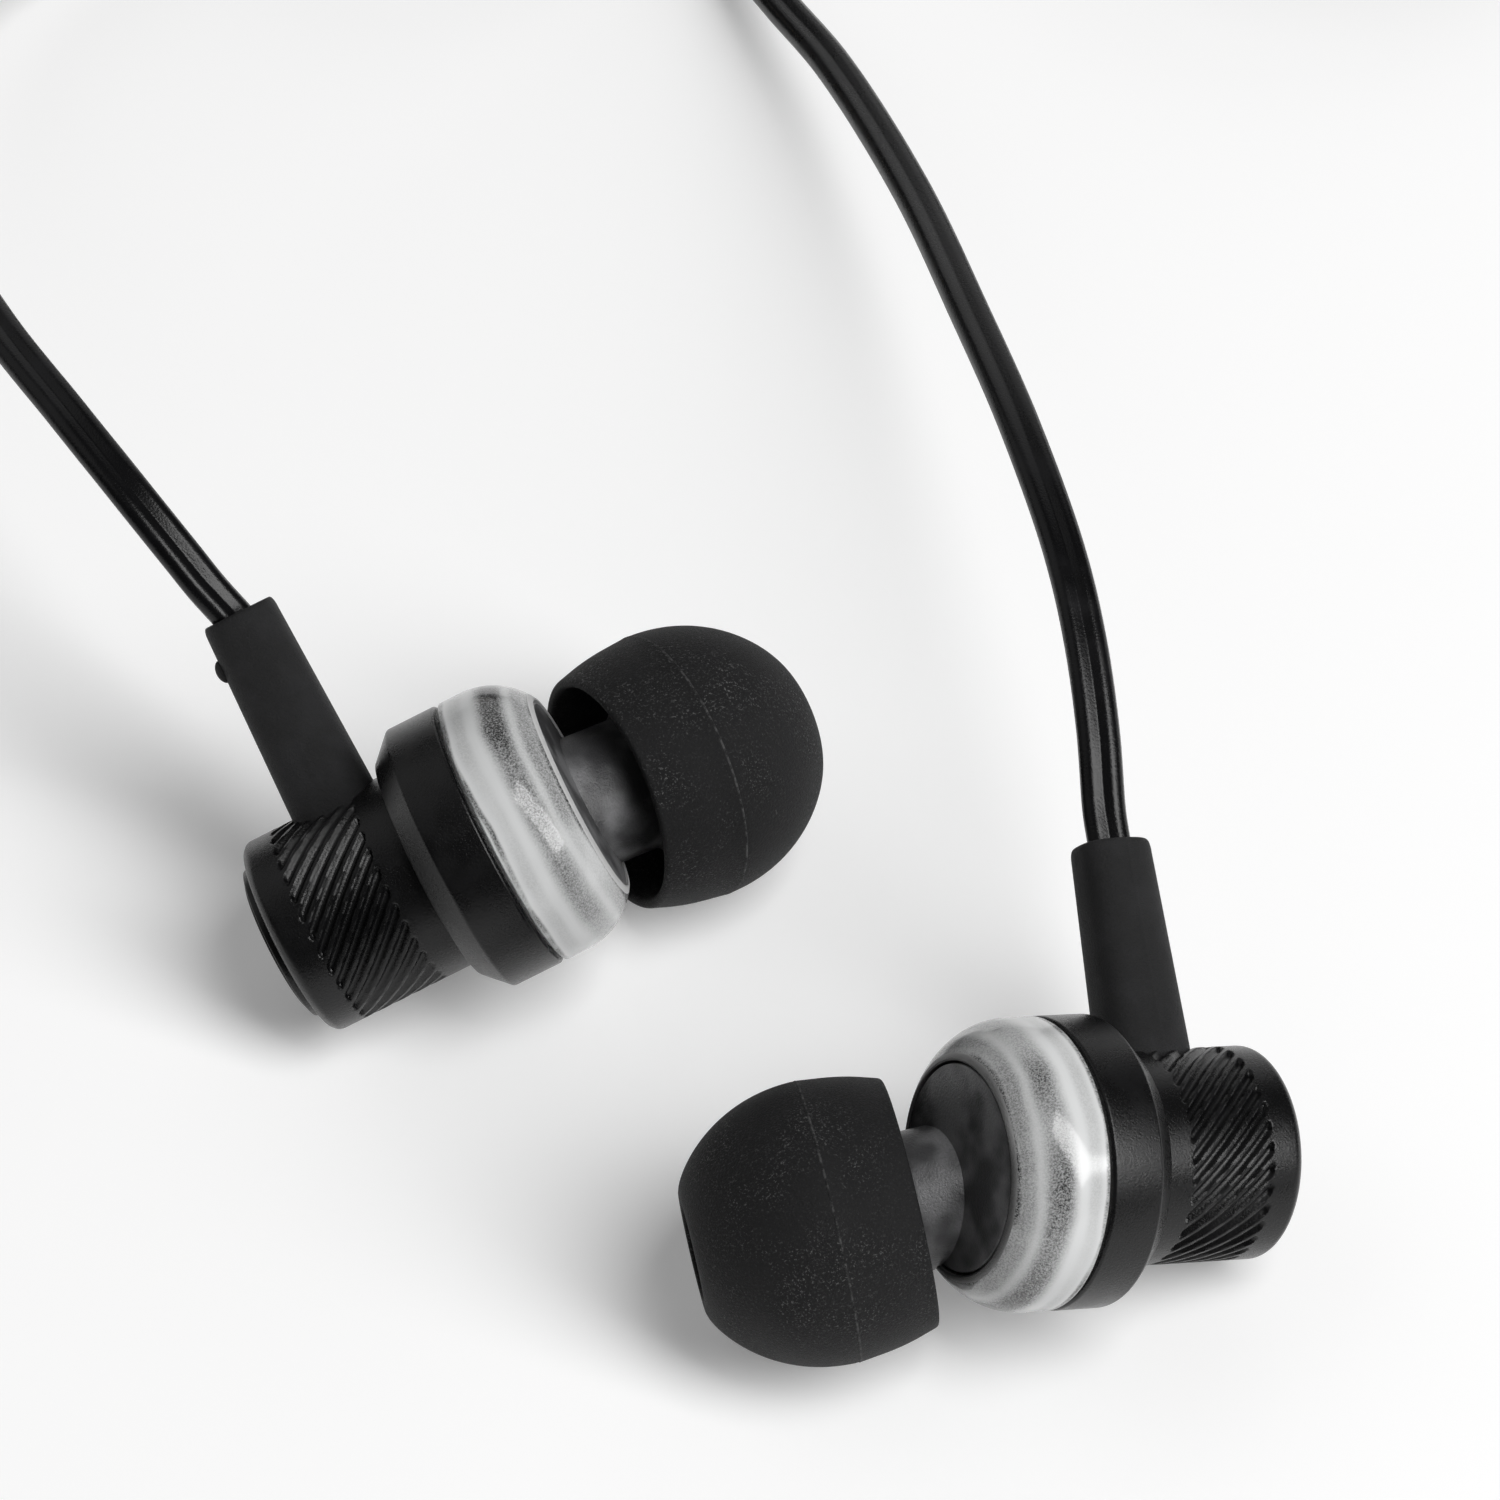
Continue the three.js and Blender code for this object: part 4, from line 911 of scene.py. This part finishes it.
def dot():
    """The raised dot: an ellipsoid, half sunk in the left relief's outer side."""
    a = np.linspace(0, np.pi, 24)
    profile = np.stack([-DOT_RADIUS * np.cos(a), DOT_RADIUS * np.sin(a)], axis=1)
    grid = turned(profile, 48) * DOT_STRETCH
    grid += [-RELIEF_PLACE - RELIEF_TOP[0], -RELIEF_TOP[1] / 4, RELIEF_END - DOT_PLACE]
    piece = made("left_dot", placed(grid, "left"), relief_rubber)
    belongs(piece, "earphones", "relief")


dot()

# ---------------------------------------------------------------- splitter
# A flat moulded rubber block: both branches enter its wide end, and the main cord leaves
# its narrow one.
def splitter():
    """Ovals along X, whose half width and half height follow these stations."""
    stations = [0, 0.5, 5.4, 9.6, SPLITTER_LENGTH - 0.4, SPLITTER_LENGTH]
    half_widths = [2.7, 3.1, 3.0, 1.8, 1.5, 1.2]
    half_heights = [1.2, 1.6, 1.75, 1.5, 1.35, 1.1]
    rows = rounded(list(zip(stations, half_widths, [0, 0.4, 1.5, 1.0, 0.3, 0])), steps=8)
    heights = np.interp(rows[:, 0], stations, half_heights)
    outline = oval(64)
    y = rows[:, 1:] * outline[:, 0]
    z = heights[:, None] * outline[:, 1]
    grid = np.stack([np.broadcast_to(rows[:, :1], y.shape), y, z], axis=-1) + SPLITTER_PLACE
    belongs(made("splitter", closed(grid), relief_rubber), "earphones", "relief", "y_splitter")


splitter()

# ---------------------------------------------------------------- jack plug
# A straight 3.5 mm plug: a rubber boot, an anodised shell, and gold-plated contacts kept
# apart by black insulating rings. It lies on the branches' coils.
def gold_look(s):
    """Polished plating, dulled by fine scratches."""
    scratch = s.noise(3.0, 4.0)
    return {"Roughness": 0.16 + scratch * 0.16}


gold = finish("gold_plate", gold_look, Base_Color=(0.83, 0.6, 0.27), Metallic=1.0)
black_plastic = finish("black_plastic", rubber_look)


def on_plug(profile):
    """A profile along the plug, turned and laid along -X at the plug's place."""
    return turned(profile, 96) * [-1, -1, 1] + PLUG_PLACE


# Each piece's slot, finish, whether it is hollow, and profile from the cord to the tip.
plug_profiles = {
    "plug_boot": ("relief", relief_rubber, False, rounded([
        (0, 0), (0, 1.35, 0.3), (2, 1.5, 0.5), (7, 2.3, 0.2), (7, 1.5), (9, 1.5), (9, 0)])),
    "plug_shell": ("anodised", anodised, True, rounded([
        (9.4, 1.7), (7.2, 1.7), (7.2, 2.65, 0.05), (7.45, 2.9, 0.15), (18.8, 2.9, 0.3),
        (19.2, 2.5, 0.1), (19.2, 1.95, 0.02), (17.2, 1.95), (17.2, 1.2), (9.4, 1.2)])),
    "plug_sleeve": ("gold", gold, True, rounded([
        (17.4, 1.05), (17.4, 1.75, 0.03), (27.2, 1.75, 0.05), (27.2, 1.05)])),
    "plug_ring": ("gold", gold, True, rounded([
        (27.8, 1.05), (27.8, 1.75, 0.05), (30.1, 1.75, 0.05), (30.1, 1.05)])),
    "plug_insulator": ("insulator", black_plastic, False, rounded([
        (17.4, 0), (17.4, 0.85), (27.3, 0.85), (27.3, 1.72, 0.02), (27.7, 1.72, 0.02),
        (27.7, 0.85), (30.2, 0.85), (30.2, 1.72, 0.02), (30.6, 1.72, 0.02), (30.6, 0.85),
        (31.9, 0.85), (31.9, 0)])),
    "plug_tip": ("gold", gold, False, rounded([
        (32.1, 0), (32.1, 1.05), (30.7, 1.05), (30.7, 1.4, 0.05), (31.7, 1.35, 0.3),
        (32.3, 1.75, 0.3), (34.0, 0.7, 0.3), (34.3, 0)])),
}
for node, (slot, material, hollow, profile) in plug_profiles.items():
    piece = made(node.replace("plug", "jack"), on_plug(profile), material, ring=hollow)
    belongs(piece, "earphones", slot, node)

# ---------------------------------------------------------------- pieces inside
# The driver and the rest inside keep their CAD solids, in the metals, film and felt of a
# small dynamic loudspeaker.
def rough_look(low, high):
    """A finish whose roughness wanders between two values."""
    return lambda s: {"Roughness": low + s.noise(4.0, 3.0) * (high - low)}


def felt_look(s):
    """Matted fibres."""
    return {"Normal": s.noise(6.0, 4.0).bump(0.1)}


inner_finishes = {
    "seal": finish("seal_rubber", rubber_look),
    "steel": finish("steel", rough_look(0.2, 0.45), Base_Color=(0.55, 0.56, 0.57), Metallic=1.0),
    "felt": finish("felt", felt_look, Base_Color=(0.7, 0.68, 0.62), Roughness=0.95),
    "driver": finish("driver_metal", rough_look(0.3, 0.5), Base_Color=(0.05, 0.05, 0.052), Metallic=0.6),
    "magnet": finish("magnet_nickel", rough_look(0.25, 0.4), Base_Color=(0.5, 0.5, 0.52), Metallic=1.0),
    "copper": finish("copper_wire", rough_look(0.3, 0.5), Base_Color=(0.72, 0.36, 0.18), Metallic=1.0),
    "enamel": finish("red_enamel", rough_look(0.3, 0.5), Base_Color=(0.3, 0.03, 0.02), Metallic=0.6),
    "film": finish("film", rough_look(0.35, 0.5), Base_Color=(0.7, 0.68, 0.62)),
    "board": finish("circuit_board", rough_look(0.4, 0.5), Base_Color=(0.02, 0.16, 0.06)),
    "cord": cord_rubber,
}
for row in frame["record"]["subparts"]:
    node = frame["nodes"][row["node"]]
    if row["material_slot"] in inner_finishes and not node.get("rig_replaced"):
        node.data.materials.clear()
        node.data.materials.append(inner_finishes[row["material_slot"]])

# ---------------------------------------------------------------- table and light
# A plain white table under a tall soft light from the right and the front, with weak fills
# from behind and from the left.
TABLE_HALF = 3.0
LIT_MIDDLE = np.array([0.0, 0.02, 0.0])

table_corners = [(x * TABLE_HALF, y * TABLE_HALF, 0) for x, y in ((-1, -1), (1, -1), (1, 1), (-1, 1))]
table_mesh = bpy.data.meshes.new("table")
table_mesh.from_pydata(table_corners, [], [(0, 1, 2, 3)])
table = bpy.data.objects.new("table", table_mesh)
bpy.context.scene.collection.objects.link(table)


def table_look(s):
    """A faint glow that only the camera sees, also in gloss and through clear plastic: it
    brings the table near white and lights nothing.
    """
    rays = ["Is Camera Ray", "Is Glossy Ray", "Is Transmission Ray"]
    camera_ray, glossy_ray, clear_ray = [s.node("LightPath", out=ray) for ray in rays]
    seen = camera_ray + glossy_ray + clear_ray
    return {"Emission_Color": seen.mix((0, 0, 0), (0.18, 0.18, 0.18))}


table_mesh.materials.append(finish(
    "white_table", table_look, Base_Color=(0.9, 0.9, 0.9), Roughness=0.8, Specular_IOR_Level=0.2,
    Emission_Strength=1.0,
))


def softbox(name, way, distance, wide, tall, power):
    """A rectangular area light, that far from the table's middle and facing it."""
    data = bpy.data.lights.new(name, "AREA")
    data.shape, data.size, data.size_y, data.energy = "RECTANGLE", wide, tall, power
    light = bpy.data.objects.new(name, data)
    way = unit(way)
    light.location = LIT_MIDDLE + distance * way
    light.rotation_euler = (np.arccos(way[2]), 0, np.arctan2(way[1], way[0]) + np.pi / 2)
    bpy.context.scene.collection.objects.link(light)


softbox("key", (0.54, -0.31, 0.78), 0.8, 0.34, 0.9, 7.0)
softbox("back", (0.1, 0.95, 0.3), 0.9, 0.8, 0.8, 1.0)
softbox("left", (-0.7, 0.3, 0.65), 0.8, 0.8, 0.8, 0.8)

world = bpy.data.worlds.new("studio")
world.use_nodes = True
world.node_tree.nodes["Background"].inputs["Color"].default_value = (1, 1, 1, 1)
world.node_tree.nodes["Background"].inputs["Strength"].default_value = 0.07
bpy.context.scene.world = world
bpy.context.scene.view_settings.view_transform = "Standard"
